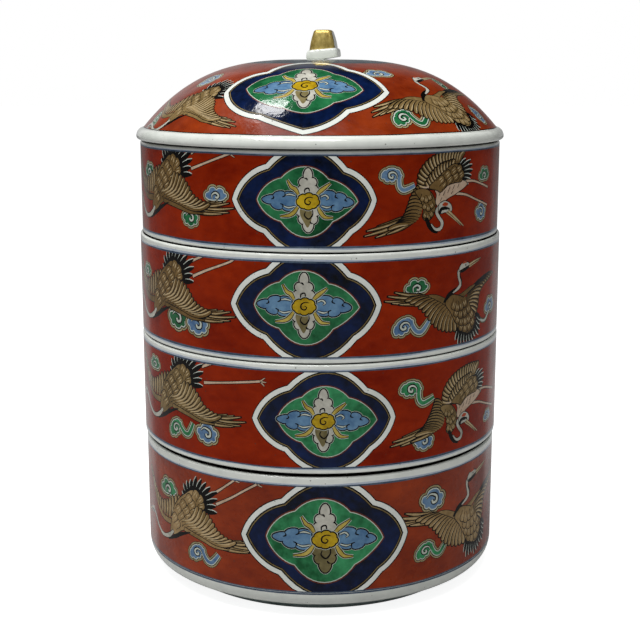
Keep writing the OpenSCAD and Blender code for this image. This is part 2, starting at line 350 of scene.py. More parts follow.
def fired(name, patches, body, cad_node):
    """One closed piece made of patches that meet edge to edge. It stands for its CAD node."""
    column = SIDE_COLUMN
    whole = sum(patch["length"] for patch in patches)
    for patch in patches:
        if patch["length"]:
            width = SIDE_W * patch["length"] / whole
            patch["uvs"] = patch["uvs"] * [width * 0.9, SIDE_H] + [column, PAGE_EDGE]
            column += width
    first = np.cumsum([0] + [len(patch["points"]) for patch in patches])
    points = np.concatenate([patch["points"] for patch in patches])
    tris = np.concatenate([patch["tris"] + start for patch, start in zip(patches, first)])
    kinds, normals, uvs = (np.concatenate([patch[key] for patch in patches])
                           for key in ("kinds", "normals", "uvs"))
    corners = points[tris]
    facing = np.cross(corners[:, 1] - corners[:, 0], corners[:, 2] - corners[:, 0])
    wrong = np.einsum("ij,ij->i", facing, normals.mean(1)) < 0
    for values in (tris, normals, uvs):
        values[wrong] = values[wrong][:, ::-1]
    _, kept, same = np.unique(np.round(points, 3), axis=0, return_index=True, return_inverse=True)
    tris = same.reshape(-1)[tris]
    sound = (tris[:, 0] != tris[:, 1]) & (tris[:, 1] != tris[:, 2]) & (tris[:, 2] != tris[:, 0])
    tris, kinds, normals, uvs = tris[sound], kinds[sound], normals[sound], uvs[sound]
    used = np.unique(kinds)
    mesh = bpy.data.meshes.new(name)
    mesh.from_pydata((points[kept] * MM).tolist(), [], tris.tolist())
    for kind in used:
        mesh.materials.append(ENAMELS[ENAMEL_NAMES[kind]])
    mesh.polygons.foreach_set("material_index", np.searchsorted(used, kinds))
    mesh.polygons.foreach_set("use_smooth", np.ones(len(tris), bool))
    mesh.uv_layers.new(name="OFBake").uv.foreach_set("vector", uvs.ravel())
    mesh.normals_split_custom_set(normals.reshape(-1, 3).tolist())
    piece = bpy.data.objects.new(name, mesh)
    bpy.context.scene.collection.objects.link(piece)
    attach(piece, body)
    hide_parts(cad_node)
    print(name, len(tris))


def smooth(points, closed=False, steps=5):
    """A smooth line through the points."""
    p = np.array(points, float)
    count = len(p)
    runs = []
    t = np.arange(steps)[:, None] / steps
    for i in range(count if closed else count - 1):
        if closed:
            a, b, c, d = p[i - 1], p[i], p[(i + 1) % count], p[(i + 2) % count]
        else:
            a, b, c, d = p[max(i - 1, 0)], p[i], p[i + 1], p[min(i + 2, count - 1)]
        bend = (2 * a - 5 * b + 4 * c - d) * t**2 + (3 * b - a - 3 * c + d) * t**3
        runs.append(0.5 * (2 * b + (c - a) * t + bend))
    if not closed:
        runs.append(p[-1:])
    return np.vstack(runs)


def along(points, shares):
    """Points at the given shares of the way along a smooth line."""
    line = smooth(points, steps=12)
    walked = np.concatenate([[0], np.cumsum(np.hypot(*np.diff(line, axis=0).T))])
    at = np.array(shares) * walked[-1]
    return np.stack([np.interp(at, walked, line[:, k]) for k in (0, 1)], 1)


def aside(ways):
    """Unit steps to the left of the ways."""
    left = np.stack([-ways[:, 1], ways[:, 0]], 1)
    return left / np.maximum(np.hypot(*left.T), 1e-9)[:, None]


def lobes(cusps, bulges, steps=6, roundness=1.0):
    """A closed outline of lobes that meet in cusps, walked counterclockwise."""
    corners = np.array(cusps, float)
    bulges = np.broadcast_to(bulges, len(corners))
    t = np.pi * np.arange(steps) / steps
    share = roundness * (1 - np.cos(t)) / 2 + (1 - roundness) * t / np.pi
    runs = []
    for start, end, bulge in zip(corners, np.roll(corners, -1, 0), bulges):
        out = np.array([end[1] - start[1], start[0] - end[0]])
        runs.append(start + np.outer(share, end - start) + np.outer(np.sin(t) * bulge, out))
    return np.vstack(runs)


def grown(outline, by):
    """The outline moved outwards by a distance, or inwards where that is negative."""
    after = np.roll(outline, -1, 0)
    area = np.sum(outline[:, 0] * after[:, 1] - after[:, 0] * outline[:, 1])
    left = aside(after - outline)
    mean = left + np.roll(left, 1, 0)
    mean /= np.maximum(np.hypot(*mean.T), 0.5)[:, None]
    return outline - mean * by * np.sign(area)


def stroke(points, width, pressure=(0.4, 1, 1, 0.4), steps=5):
    """The outline of a brush stroke; pressure gives shares of its width along the way."""
    line = smooth(points, steps=steps)
    half = width / 2 * np.interp(np.linspace(0, 1, len(line)), np.linspace(0, 1, len(pressure)), pressure)
    side = aside(np.gradient(line, axis=0)) * half[:, None]
    return np.vstack([line + side, (line - side)[::-1]])


def plume(root, tip, width, bend=0.0, root_share=0.45):
    """The outline of one feather with a round tip; bend bows it to the left of its way."""
    t = np.array([0, 0.25, 0.5, 0.7, 0.84, 0.93, 0.98, 1.0])
    spread = np.array([root_share, 0.8, 1, 1, 0.92, 0.7, 0.42, 0.0])
    reach = tip - root
    side = np.array([-reach[1], reach[0]])
    spine = root + np.outer(t, reach) + np.outer(4 * t * (1 - t) * bend, side)
    edge = aside(np.gradient(spine, axis=0)) * (spread * width / 2)[:, None]
    return np.vstack([spine + edge, (spine - edge)[::-1][1:]])


def feather(root, tip, width, bend=0.0, root_share=0.45, ink=0.46):
    """A tan feather inside its black line, with a pale streak along one side."""
    reach = tip - root
    length = max(np.hypot(*reach), 0.01)
    side = np.array([-reach[1], reach[0]])
    shift = side / length * width * 0.18
    streak = [root + reach * 0.14 + shift * 0.6, root + reach * 0.55 + side * bend + shift,
              tip - reach * 0.05 + shift * 0.5]
    return [("ink", plume(root, tip + reach / length * ink, width + 2 * ink, bend, root_share)),
            ("feather", plume(root, tip, width, bend, root_share)),
            ("feather_light", stroke(streak, width * 0.28, (0.4, 1, 1, 0.4), 3))]


def quill(root, tip, width, bend=0.0, root_share=0.45):
    """A long pointed feather from the end of a wing, inside its black line."""
    reach = tip - root
    way = reach / max(np.hypot(*reach), 0.01)
    bow = root + reach * 0.55 + np.array([-reach[1], reach[0]]) * bend
    return [("ink", stroke([root, bow, tip + way * 0.7], width + 0.95, (root_share, 1, 0.8, 0.4), 4)),
            ("feather", stroke([root, bow, tip], width, (root_share, 1, 0.8, 0.15), 4)),
            ("feather_light", stroke([root + reach * 0.2, bow, tip], width * 0.3, (0.4, 1, 0.4), 4))]


def black_plume(root, tip, width, bend=0.0, root_share=0.45):
    """A pointed black tail plume with a pale streak on the side that the bend points to."""
    reach = tip - root
    length = max(np.hypot(*reach), 0.01)
    shift = np.array([-reach[1], reach[0]]) / length * width * bend
    streak = [root + reach * 0.3 + shift * 0.6, root + reach * 0.7 + shift, tip + shift * 0.5]
    return [("ink", stroke([root, (root + tip) / 2, tip], width, (0.9, 1, 0.15), 3)),
            ("pale", stroke(streak, 0.42, (0.3, 1, 0.8), 3))]


def fan(roots, tips, count, width, bend=0.0, root_share=0.45, make=feather, ragged=0.0):
    """A row of feathers from one smooth line of roots to one of tips, the last on top. Ragged ones differ
    in length."""
    shares = np.linspace(0, 1, count)
    widths, bends = (np.interp(shares, np.linspace(0, 1, np.size(v)), np.atleast_1d(v))
                     for v in (width, bend))
    marks = []
    for i, (root, tip) in enumerate(zip(along(roots, shares), along(tips, shares))):
        tip = tip + (tip - root) * ragged * ((i * 5) % 7 / 3 - 1)
        marks += make(root, tip, widths[i], bends[i], root_share)
    return marks


def scales(rows, size, ink=0.32):
    """Rows of small round feathers; each row is walked with the feathers' tips on its right."""
    marks = []
    for row in rows:
        line = smooth(row, steps=8)
        count = max(2, int(round(np.hypot(*np.diff(line, axis=0).T).sum() / (size * 0.86))))
        shares = (np.arange(count) + 0.5) / count
        spots = along(row, shares)
        for spot, way in zip(spots, -aside(np.gradient(spots, axis=0))):
            tip, root = spot + way * size * 0.62, spot - way * size * 0.75
            marks += [("ink", plume(root, tip + way * ink, size + 2 * ink, 0, 0.9)),
                      ("feather", plume(root, tip, size, 0, 0.9))]
            for shift in (-0.2, 0.2):
                side = np.array([-way[1], way[0]]) * size * shift
                marks.append(("feather_light", stroke([spot - way * size * 0.25 + side,
                                                       spot + way * size * 0.38 + side * 0.7],
                                                      size * 0.15, (0.5, 1, 0.3), 2)))
    return marks


def inked(enamel, outline, ink=0.36):
    """A painted shape inside a black line."""
    return [("ink", grown(outline, ink)), (enamel, outline)]


def drawn(lines, width=0.5):
    return [("ink", stroke(line, width, (0.5, 1, 1, 0.5), 4)) for line in lines]


def placed(marks, at, size=1.0, turn=0.0):
    """Marks made about their own middle, turned in degrees, scaled and put in place."""
    angle = math.radians(turn)
    matrix = np.array([[math.cos(angle), math.sin(angle)], [-math.sin(angle), math.cos(angle)]]) * size
    return [(enamel, outline @ matrix + np.array(at)) for enamel, outline in marks]


def arranged(*figures, swaps={}):
    """Figures laid one over another, each with its place, and where needed its size and turn. On some tiers
    an enamel is swapped for a lighter copy of it, as painted light, or a darker one, as painted shade."""
    marks = [mark for figure in figures for mark in placed(*figure)]
    return [(swaps.get(enamel, enamel), outline) for enamel, outline in marks]


CLOUD_RINGS = (("ink", 0.45), ("cloud_line", 0.2), ("ink", -0.35), ("pale", -0.7), (None, -1.1))


def cloud(outline, enamel, curl, tail=None):
    """A cloud: black, gold and pale lines one inside the other, then one enamel, and a curl in it."""
    marks = []
    for name, by in CLOUD_RINGS:
        marks.append((name or enamel, grown(outline, by)))
        if tail is not None:
            marks.append((name or enamel, stroke(tail, 3.7 + 2 * by, (0.9, 1, 1, 1, 0.8))))
    return marks + [("ink", stroke(curl, 1.7, (0.3, 1, 1, 0.9))),
                    ("pale", stroke(curl, 0.85, (0.2, 0.8, 1, 0.8)))]


def crest_cloud(enamel):
    """A trefoil cloud, flat underneath, about 13 mm wide."""
    cusps = [(-4.8, -2.4), (0.4, -2.6), (4.8, -1.6), (4.4, 1.6), (0.2, 3.0), (-4.2, 1.8)]
    curl = [(-1.9, -1.7), (-2.0, 0.0), (-0.3, 0.9), (1.1, 0.0), (0.6, -1.0), (-0.4, -0.8)]
    return cloud(lobes(cusps, (0.1, 0.16, 0.4, 0.3, 0.34, 0.42)), enamel, curl)


def trailing_cloud(enamel):
    """A round cloud head on the left with a tail that swings down and to the right, 20 mm wide."""
    cusps = [(-9.6, -2.2), (-6.9, -3.2), (-3.9, -2.6), (-1.6, -0.8), (0.4, 1.8), (-0.8, 3.9), (-4.4, 4.6),
             (-8.6, 2.0)]
    tail = [(-1.3, 2.2), (-0.5, 0.2), (1.2, -1.8), (3.4, -2.2), (5.4, -0.4), (7.4, 2.2)]
    curl = [(-1.7, 0.2), (-2.6, 1.8), (-4.6, 2.1), (-6.0, 0.8), (-5.2, -0.5), (-3.8, -0.2), (-4.2, 0.7)]
    return cloud(lobes(cusps, (0.3, 0.28, 0.25, 0.05, 0.3, 0.2, 0.15, 0.2)), enamel, curl, tail)


def round_cloud(enamel):
    """A small round cloud with one long curl, about 11 mm wide."""
    cusps = [(-4.4, -1.6), (-2.0, -3.2), (2.2, -3.2), (4.6, -1.0), (3.4, 2.4), (-3.2, 2.6)]
    curl = [(-2.9, 0.8), (-1.2, 2.0), (1.2, 1.2), (1.4, -0.6), (0.0, -1.0), (-0.5, 0.0)]
    return cloud(lobes(cusps, (0.3, 0.26, 0.34, 0.36, 0.32, 0.42)), enamel, curl)


WALL_PANEL = ([(16.8, 12.4), (-14.2, 13.6), (-28.4, -0.2), (-15.4, -12.7), (19.2, -12.6), (28.5, 0)],
              (0.27, 0.13, 0.12, 0.27, 0.1, 0.13))
WALL_GREEN = ([(9.9, 8.2), (-8.2, 8.6), (-17.9, 0.2), (-8.5, -8.0), (11.5, -8.0), (21.2, -0.5)],
              (0.25, 0.13, 0.13, 0.3, 0.06, 0.12))


def green_field(aside_by=0.0, tall=1.0):
    """The wall's green field, as each painter's hand set it: a little to one side, or taller."""
    points, bulges = WALL_GREEN
    return [(x + aside_by, y * tall) for x, y in points], bulges


def medallion(panel, green, rim=1.85):
    """A four-lobed cobalt panel in a white border, with a gold line in it and a green field."""
    border, field = lobes(*panel, 12, 0.3), lobes(*green, 12, 0.35)
    steps = (("ink", 0.35), ("white", 0), ("ink", -rim), ("gold", -rim - 0.5), ("ink", -rim - 0.85),
             ("cobalt", -rim - 1.1))
    marks = [(name, grown(border, by)) for name, by in steps]
    return marks + [("rust", grown(field, 0.5)), ("pale", grown(field, 0.05)), ("green", grown(field, -0.22))]


def blossom(low_petal="petal"):
    """A flower of two blue and two white petals round a yellow middle, with four yellow tendrils."""
    left = lobes([(-4.6, 2.2), (-8.8, 2.9), (-13.4, 1.8), (-17.8, 0.4), (-14.2, -1.0), (-9.8, -2.6),
                  (-4.6, -2.6)],
                 (0.2, 0.24, 0.14, 0.16, 0.28, 0.24, 0.0))
    right = lobes([(4.8, -2.5), (9.0, -3.1), (13.4, -2.1), (17.4, -0.9), (14.6, 0.9), (10.6, 2.4),
                   (4.8, 2.4)],
                  (0.2, 0.26, 0.14, 0.2, 0.28, 0.26, 0.0))
    up = lobes([(2.9, 2.0), (2.5, 5.7), (1.2, 8.6), (0.1, 12.4), (-1.2, 8.6), (-2.5, 5.7), (-2.9, 2.0)],
               (0.36, 0.45, 0.22, 0.22, 0.45, 0.36, 0.0))
    down = lobes([(-3.1, -2.0), (-3.0, -5.7), (-1.7, -8.6), (0.1, -11.9), (1.8, -8.6), (3.0, -5.7),
                  (3.1, -2.0)],
                 (0.36, 0.36, 0.22, 0.22, 0.36, 0.36, 0.0))
    middle = lobes([(-3.2, -1.7), (-1.2, -2.6), (1.5, -2.5), (3.4, -1.5), (3.7, 0.5), (1.8, 2.1), (-1.0, 2.1),
                    (-3.5, 0.9)],
                   (0.22, 0.24, 0.24, 0.36, 0.34, 0.3, 0.28, 0.34))
    marks = []
    for enamel, petal in (("petal_blue", left), ("petal_blue", right), ("petal", up), (low_petal, down)):
        marks += [("pale", grown(petal, 0.62)), ("ink", grown(petal, 0.5)), (enamel, petal)]
    marks.append(("petal_tan", smooth([(-2.7, -2.8), (-2.9, -5.4), (-1.5, -8.2), (-0.2, -10.2), (1.0, -8.4),
                                       (1.5, -5.6), (1.0, -2.8)], True)))
    for line in ([(-4.9, 2.0), (-7.0, 2.5), (-8.9, 2.0)], [(-5.0, -2.1), (-7.6, -2.6), (-9.8, -1.7)],
                 [(5.2, -1.9), (7.2, -2.5), (9.0, -2.0)], [(5.0, 1.6), (6.6, 2.2), (7.8, 1.2), (6.9, 0.4)]):
        marks += [("ink", stroke(line, 1.15, (0.8, 1, 0.4))), ("pale", stroke(line, 0.55, (0.6, 1, 0.2)))]
    marks += drawn([[(-1.2, 2.8), (-1.1, 4.4), (0.3, 4.8), (0.6, 3.0)],
                    [(-1.3, 8.6), (-0.5, 8.5), (-0.2, 7.8)],
                    [(1.7, -2.8), (1.8, -5.2), (0.3, -6.9), (-1.3, -5.6), (-0.9, -4.0)],
                    [(1.8, -8.6), (1.1, -8.4), (0.8, -7.7)]], 0.6)
    marks += drawn([[(-8.8, 2.9), (-8.8, 1.9), (-9.9, 1.4)], [(-13.4, 1.8), (-13.2, 1.0), (-14.2, 0.5)],
                    [(-9.8, -2.6), (-9.6, -1.6), (-10.7, -1.1)], [(9.0, -3.1), (9.0, -2.0), (10.1, -1.5)],
                    [(10.6, 2.4), (10.4, 1.5), (11.5, 1.0)], [(14.6, 0.9), (14.1, 0.3), (15.0, -0.2)]], 0.55)
    tendrils = [[(-3.6, 2.4), (-4.8, 4.4), (-6.4, 5.4), (-7.9, 8.0)],
                [(3.4, 2.4), (5.0, 4.0), (6.6, 5.2), (8.6, 6.8)],
                [(3.8, -2.4), (5.0, -4.6), (6.6, -6.2), (9.6, -6.4)],
                [(-3.8, -2.2), (-5.4, -4.4), (-7.4, -5.6), (-10.8, -6.0)]]
    for line in tendrils:
        marks += [("pale", stroke(line, 2.4, (0.6, 1, 0.85, 0.5))),
                  ("ink", stroke(line, 2.0, (0.6, 1, 0.85, 0.4))),
                  ("tendril", stroke(line, 1.3, (0.6, 1, 0.8, 0.1)))]
    marks += [("pale", grown(middle, 0.66)), ("ink", grown(middle, 0.5)), ("yellow", middle)]
    return marks + drawn([[(1.9, 1.2), (0.4, 1.4), (-1.0, 0.6), (-1.0, -0.9), (0.3, -1.4), (1.0, -0.5),
                           (0.2, 0.1)]], 0.55)


DIVING_LEGS = ([(-46, 50), (-40.5, 54), (-36, 57.4)], [(-45, 45.5), (-38, 49.4), (-31.5, 53.6), (-26, 57)])


def diving_crane(legs=DIVING_LEGS):
    """A crane that dives to the left: neck stretched low, one wing to each side, tail and legs up behind."""
    marks = []
    for leg in legs:
        foot, way = np.array(leg[-1]), np.subtract(leg[-1], leg[-2])
        way = way / np.hypot(*way)
        toes = [[foot, foot + 2.6 * (way * math.cos(a) + way[::-1] * [-1, 1] * math.sin(a))]
                for a in (-0.9, -0.25, 0.5)]
        for toe in toes:
            marks += inked("leg", stroke(toe, 0.6, (1, 0.4)), 0.22)
        marks += inked("leg", stroke(leg, 0.95, (1.2, 0.8, 0.9)), 0.32)
    marks += fan([(-63, 45), (-59, 48.4), (-55.7, 48), (-53, 46.4), (-51.6, 42)],
                 [(-65, 47.4), (-62.8, 51), (-58, 54), (-52.6, 54.4), (-46.4, 52.4), (-44.2, 47),
                  (-45.4, 41.6)],
                 12, 3.0, 0.3, 0.6, black_plume, 0.12)
    marks += fan([(-94, 43.4), (-89, 38), (-84.4, 33), (-80, 31.4), (-75, 31.4), (-71, 32.4), (-67.6, 35)],
                 [(-97.6, 49), (-92.6, 44), (-85.4, 38.6), (-80, 38.8), (-76, 40.6), (-72, 43), (-68.4, 43.8),
                  (-65, 45)],
                 15, (1.5, 1.9, 2.2), (0.0, -0.05, -0.1))
    arm = [(-70, 31.2), (-76, 30.4), (-82, 30.8), (-87, 34), (-91, 39), (-95.4, 45)]
    marks += inked("feather", stroke(arm, 2.2, (1, 1, 0.9, 0.7, 0.3)), 0.35)
    near_wing = fan([(-50, 30), (-45, 29), (-44, 27.8), (-45, 27)],
                    [(-33, 31.8), (-26, 31.4), (-24.6, 29.9), (-25.4, 28.4), (-30, 27.2)], 6,
                    (1.3, 1.1), (-0.05, -0.02), make=quill)
    near_wing += fan([(-66, 32), (-62, 30.6), (-56, 29.6), (-50, 28.6), (-46, 27.9)],
                     [(-55.4, 42.2), (-50.6, 41), (-47.2, 38), (-44.8, 34.8), (-41, 32.4), (-35.6, 30.8)], 12,
                     (2.3, 2.1, 1.6), (-0.16, -0.13, -0.08))
    near_wing += inked("feather", stroke([(-64, 30.2), (-58, 29.3), (-52, 28.2), (-46, 26.8), (-39, 26.8)],
                                         1.5, (1, 1, 0.9, 0.7, 0.2)), 0.35)
    body = smooth([(-74.8, 26), (-74, 31), (-71.4, 38), (-67, 43), (-62, 46.6), (-58.6, 48.6), (-54.6, 47.8),
                   (-51.8, 44.8), (-52.2, 41.2), (-55.4, 37), (-59, 33), (-63.4, 30.2), (-67, 28.4),
                   (-71.4, 25.6)], True)
    marks += inked("feather", body)
    marks += scales([[(-53.6, 41.8), (-53.8, 45.4), (-57.6, 47.6)],
                     [(-56.8, 38.4), (-58.6, 42), (-61.8, 45.4)],
                     [(-60.4, 35), (-62.4, 38.6), (-65.8, 42)], [(-64, 32.4), (-66.2, 35.6), (-69.2, 38.6)],
                     [(-68.2, 29.6), (-70.2, 32.2), (-72.4, 34.4)]], 3.5)
    marks += near_wing
    marks += inked("petal", stroke([(-72.6, 26.8), (-75.6, 24.2), (-79, 22.7), (-83, 22.4), (-87.6, 24.6),
                                    (-91.4, 28.2), (-95, 29.8)], 1.6, (0.7, 1.2, 0.9, 0.8, 0.8, 0.8)), 0.3)
    marks.append(("ink", stroke([(-60, 29.6), (-66, 27.4), (-71, 24.8), (-77, 21.9)], 1.9,
                                (0.2, 0.9, 1, 0.3))))
    head = smooth([(-93.6, 30.2), (-95, 31.2), (-97.6, 30.6), (-99, 29), (-97.6, 28), (-95, 28.2)], True)
    marks += inked("petal", head)
    marks += [("ink", stroke([(-94.2, 28.8), (-96.4, 28.9), (-98.6, 28.9)], 1.0, (0.8, 1, 0.4))),
              ("crown_red", stroke([(-95, 31), (-96.6, 30.9), (-97.8, 30.1)], 0.8))]
    marks += inked("feather_light", stroke([(-98.6, 29), (-102.6, 27.4), (-106.4, 25.2)], 0.9, (1, 0.8, 0.3)),
                   0.2)
    return placed(marks, (62, -37))


def rising_crane():
    """A crane that flies up with its neck raised: a wing to each side, and the tail below."""
    marks = fan([(62.5, 117.5), (66, 116), (71, 115), (74.5, 117.5), (75, 121)],
                [(60.8, 111.4), (65.2, 109.9), (70.5, 109.9), (76, 111.4), (79.4, 114.4), (79.2, 118.6)],
                 12, 2.7, -0.3, 0.6, black_plume, 0.14)
    marks += fan([(44, 132.6), (46, 131.6), (48, 130.6)],
                 [(30, 135.1), (25.2, 132.6), (27.6, 131.2), (32, 130.2)], 5, 1.4, 0.03, make=quill)
    marks += fan([(45.5, 132.4), (48.5, 131.2), (52, 129.2), (55.5, 126.6), (58, 124.6), (60.5, 123.8)],
                 [(34.4, 131.4), (38.4, 129.4), (42.2, 126.6), (45.6, 122.8), (49.4, 119), (54.6, 116.8),
                  (60.4, 116.2)],
                 14, (1.5, 2.0, 2.3), (-0.02, -0.06, -0.1, -0.06))
    arm = [(45.5, 132.6), (49, 131.6), (53, 129.8), (57.5, 127.2)]
    marks += inked("feather", stroke(arm, 2.2, (0.2, 0.8, 1, 1)), 0.25)
    marks += fan([(71, 132.8), (69, 131), (67.5, 128.6), (66.5, 126), (66, 124)],
                 [(93.2, 135.9), (87.6, 134.4), (81.6, 132.4), (78.2, 129.2), (77.4, 126), (76.4, 122.6),
                  (74.6, 120.2)],
                 14, (1.5, 2.1, 2.1), (0.05, 0.04, 0.06, 0.08, 0.08))
    arm = [(60.5, 129.6), (65, 130.6), (69.5, 132.4), (74, 133.6)]
    marks += inked("feather", stroke(arm, 1.9, (1, 1, 0.8, 0.2)), 0.25)
    body = smooth([(54.4, 128.4), (57.6, 131.2), (61.5, 130.8), (66, 129), (71, 124.5), (74, 120),
                   (73.6, 116.6), (70.4, 114.4), (66.4, 114.8), (62.6, 117), (60.2, 120.4), (57.4, 124.6)],
                  True)
    marks += inked("feather", body)
    marks += scales([[(63.2, 118.4), (66.8, 116.8), (70.6, 117), (73.2, 119.6)],
                     [(61.2, 121.6), (65, 119.8), (69.6, 120.2), (72.2, 122.8)],
                     [(60, 124.8), (63.6, 123), (68.2, 123.6), (70, 125.6)],
                     [(58.6, 127.8), (61.8, 126.2), (65.6, 126.8), (67.4, 128)]], 3.1)
    marks.append(("ink", stroke([(53.4, 128.8), (56, 131.4), (59.2, 133), (62, 133.9)], 2.0,
                                (0.4, 1, 0.9, 0.5))))
    neck = [(58.6, 132.2), (61.8, 133.7), (63.2, 135.4), (62.3, 138.2), (62, 140.4), (63.8, 142)]
    marks += inked("petal", stroke(neck, 1.4, (0.3, 1, 1, 1, 1)), 0.3)
    marks.append(("ink", stroke([(63.8, 134.6), (63.9, 136.4), (62.9, 138.6), (62.9, 140.2)], 0.7,
                                (0.3, 1, 1, 0.6))))
    head = smooth([(62.4, 140.8), (62.8, 142.6), (65, 143.8), (67.8, 143.6), (69.6, 142.6), (68.6, 141.6),
                   (66, 140.6), (64, 140.2)], True)
    marks += inked("petal", head)
    marks += [("ink", stroke([(62.8, 140.4), (65.2, 140.9), (67.4, 141.6), (69.4, 142.1)], 1.2,
                             (0.9, 1, 0.8, 0.4))),
              ("crown_red", stroke([(64.4, 143.4), (65.8, 143.9), (67.2, 143.7)], 0.8)),
              ("ink", stroke([(66.2, 142.6), (66.9, 142.7)], 0.7, (0.8, 1, 0.8)))]
    marks += inked("feather_light", stroke([(69.2, 142.6), (73.5, 143.6), (78.2, 144.2)], 0.8, (1, 0.8, 0.2)),
                   0.2)
    marks += inked("feather_light", stroke([(69, 141.6), (73, 142.6), (77, 143.5)], 0.6, (1, 0.7, 0.2)), 0.18)
    return placed(marks, (-62, -127))


def hand_line(field, height, sway, seed):
    """A line that a brush draws round the turning wall, not quite level."""
    across = np.linspace(field[0], field[1], 2 * TURN_STEPS + 1)
    turn = (across - field[0]) / (field[1] - field[0]) * 2 * np.pi
    chance = np.random.default_rng(seed)
    wave = sum(chance.normal() * np.sin(k * turn + chance.uniform(0, 2 * np.pi)) / k**0.5
               for k in range(2, 16))
    return np.stack([across, height + wave * sway / np.abs(wave).max()], 1)


def band(lower, upper):
    return np.vstack([lower, upper[::-1]])


def both_sides(marks, radius):
    """The same figures again on the back, half a turn on."""
    return marks + placed(marks, (math.pi * radius, 0))


BRUSH_SWAY = 0.16
LOW_LINE = (0.5, 0.18)
HIGH_LINE = (0.4, 0.16)
FLOOR_RINGS = (40, 12, 0)
BOTTOM_RED = (12.5, 57.49)
BOTTOM_BRUSH = 11


def painted_wall(radius, low, high, red_low, red_high, figures, seed, top_band="white", ground="red"):
    """A tier's wall: red between white bands, thin blue lines where they meet, and figures on the red."""
    field = (-math.pi * radius / 2, 1.5 * math.pi * radius, low, high)
    bottom = hand_line(field, red_low, BRUSH_SWAY, seed)
    top = hand_line(field, red_high, BRUSH_SWAY, seed + 1)
    floor, roof = hand_line(field, low, 0, 0), hand_line(field, high, 0, 0)
    line_low = hand_line(field, *LOW_LINE, seed + 2) * [0, 1]
    line_high = hand_line(field, *HIGH_LINE, seed + 3) * [0, 1]
    marks = [(ground, band(bottom, top))] + both_sides(figures, radius)
    marks += [("white", band(floor, bottom)), (top_band, band(top, roof)),
              ("wash", band(bottom - 2 * line_low, bottom)),
              ("wash", band(top, top + 2.6 * line_high)),
              ("line_blue", band(bottom - line_low, bottom + line_low * 0.5)),
              ("line_blue", band(top - line_high * 0.5, top + line_high))]

    def wrap(spots):
        angle = spots[:, 0] / radius
        return wrapped(angle, radius, spots[:, 1]), wrapped(angle, 1, 0 * spots[:, 1])

    return painted(marks, field, [], wrap, wall_page)


def tier_inside(outer_r, mouth_r, rim_z, floor_z):
    """The rim, wiped bare on top but coloured there near black as painted shade for the seam, and the white
    inside of a tier.
    """
    rim_out = arc(outer_r - SHOULDER, rim_z - SHOULDER, SHOULDER, SHOULDER, 0, 90)
    rim_in = arc(mouth_r + WALL_ROUND, rim_z - WALL_ROUND, WALL_ROUND, WALL_ROUND, 90, 180)
    inside = arc(mouth_r - FLOOR_FILLET, floor_z + FLOOR_FILLET, FLOOR_FILLET, FLOOR_FILLET, 0, -90)
    # The rim's top is coloured near black: painted shade for the seam.
    return [turned(rim_out[:8], "white"), turned(np.vstack([rim_out[7:], rim_in[:2]]), "seam_painted_shade"),
            turned(np.vstack([rim_in[1:], inside, [(radius, floor_z) for radius in FLOOR_RINGS]]), "white")]


heel_z = FOOT_H + HEEL_H
heel = arc(BOTTOM_R - HEEL_W, heel_z, HEEL_W, HEEL_H, -90, 0, 14)
foot_edge = arc(FOOT_R - FOOT_BEVEL, FOOT_BEVEL, FOOT_BEVEL, FOOT_BEVEL, -90, 0, 4)
foot_inner = arc(FOOT_R - FOOT_W + FOOT_BEVEL, FOOT_BEVEL, FOOT_BEVEL, FOOT_BEVEL, 180, 270, 4)
bottom_figures = arranged(
    (crest_cloud("green"), (-75.8, 45), 1.25),
    (trailing_cloud("blue"), (-51.5, 21.5)),
    (diving_crane(), (-62, 37)),
    (round_cloud("blue"), (50, 46.6), 1.28),
    (trailing_cloud("green"), (50.6, 24.6)),
    (rising_crane(), (72, 34), 1.12),
    (medallion(WALL_PANEL, green_field(-1.6, 1.13), 1.6), (2.0, 35.2), 1.23),
    (blossom("petal_tan"), (2.0, 35.4), 1.2),
    # Lighter copies of the feather tan and the green: painted light on this tier.
    swaps={"feather": "feather_thin", "green": "green_thin"})
bottom_patches = [
    turned([(0, UNDER_Z), (FOOT_R - FOOT_W - FOOT_BEVEL, UNDER_Z)], "white"),
    turned(np.vstack([[(FOOT_R - FOOT_W - FOOT_BEVEL, UNDER_Z)], foot_inner, foot_edge[:1]]), "bare"),
    # The foot's outer edge and the ledge under the heel are coloured grey: painted shade.
    turned(np.vstack([foot_edge, [(FOOT_R + FOOT_SPREAD, FOOT_H)], heel[:2]]), "foot_painted_shade"),
    turned(heel[1:-1], "white"),
    turned(heel[-2:], "line_blue"),
    # The red ground here is the warmer, lighter copy: partly painted light.
    painted_wall(BOTTOM_R, heel_z, BOTTOM_RIM_Z - SHOULDER, *BOTTOM_RED, bottom_figures, BOTTOM_BRUSH,
                 "white", "warm_red"),
    *tier_inside(BOTTOM_R, BOTTOM_MOUTH_R, BOTTOM_RIM_Z, UNDER_Z + FLOOR_T),
]
fired("painted_bottom_tier", bottom_patches, "bottom_tier", "bottom_tier")


# Second tier: a shallower box of the same kind. A ring under its floor drops into the
# mouth of the tier below, and its land rests on that rim; it warped a little in the
# kiln, so its seam shows wider and darker than the others.
SECOND_R = 79.1
SECOND_MOUTH_R = 73.9
SECOND_Z = 61.4
SECOND_H = 46.1
SECOND_SEAM = 1.6
RING_CLEARANCE = 0.9
RING_W = 3.5
RING_H = 4.5
RING_BEVEL = 0.7
HEEL_ROUND = 0.5
LAND_W = 2
UNDER_R = 30
SECOND_RED = (65.42, 104.68)
SECOND_BRUSH = 22


def ring_below(outer_r, width, seat_z, depth):
    """The outline of a ring that hangs from a seat, with rounded lower edges."""
    inner = arc(outer_r - width + RING_BEVEL, seat_z - depth + RING_BEVEL, RING_BEVEL, RING_BEVEL, 180, 270,
                4)
    outer = arc(outer_r - RING_BEVEL, seat_z - depth + RING_BEVEL, RING_BEVEL, RING_BEVEL, -90, 0, 4)
    return np.vstack([[(outer_r - width, seat_z)], inner, outer, [(outer_r, seat_z)]])


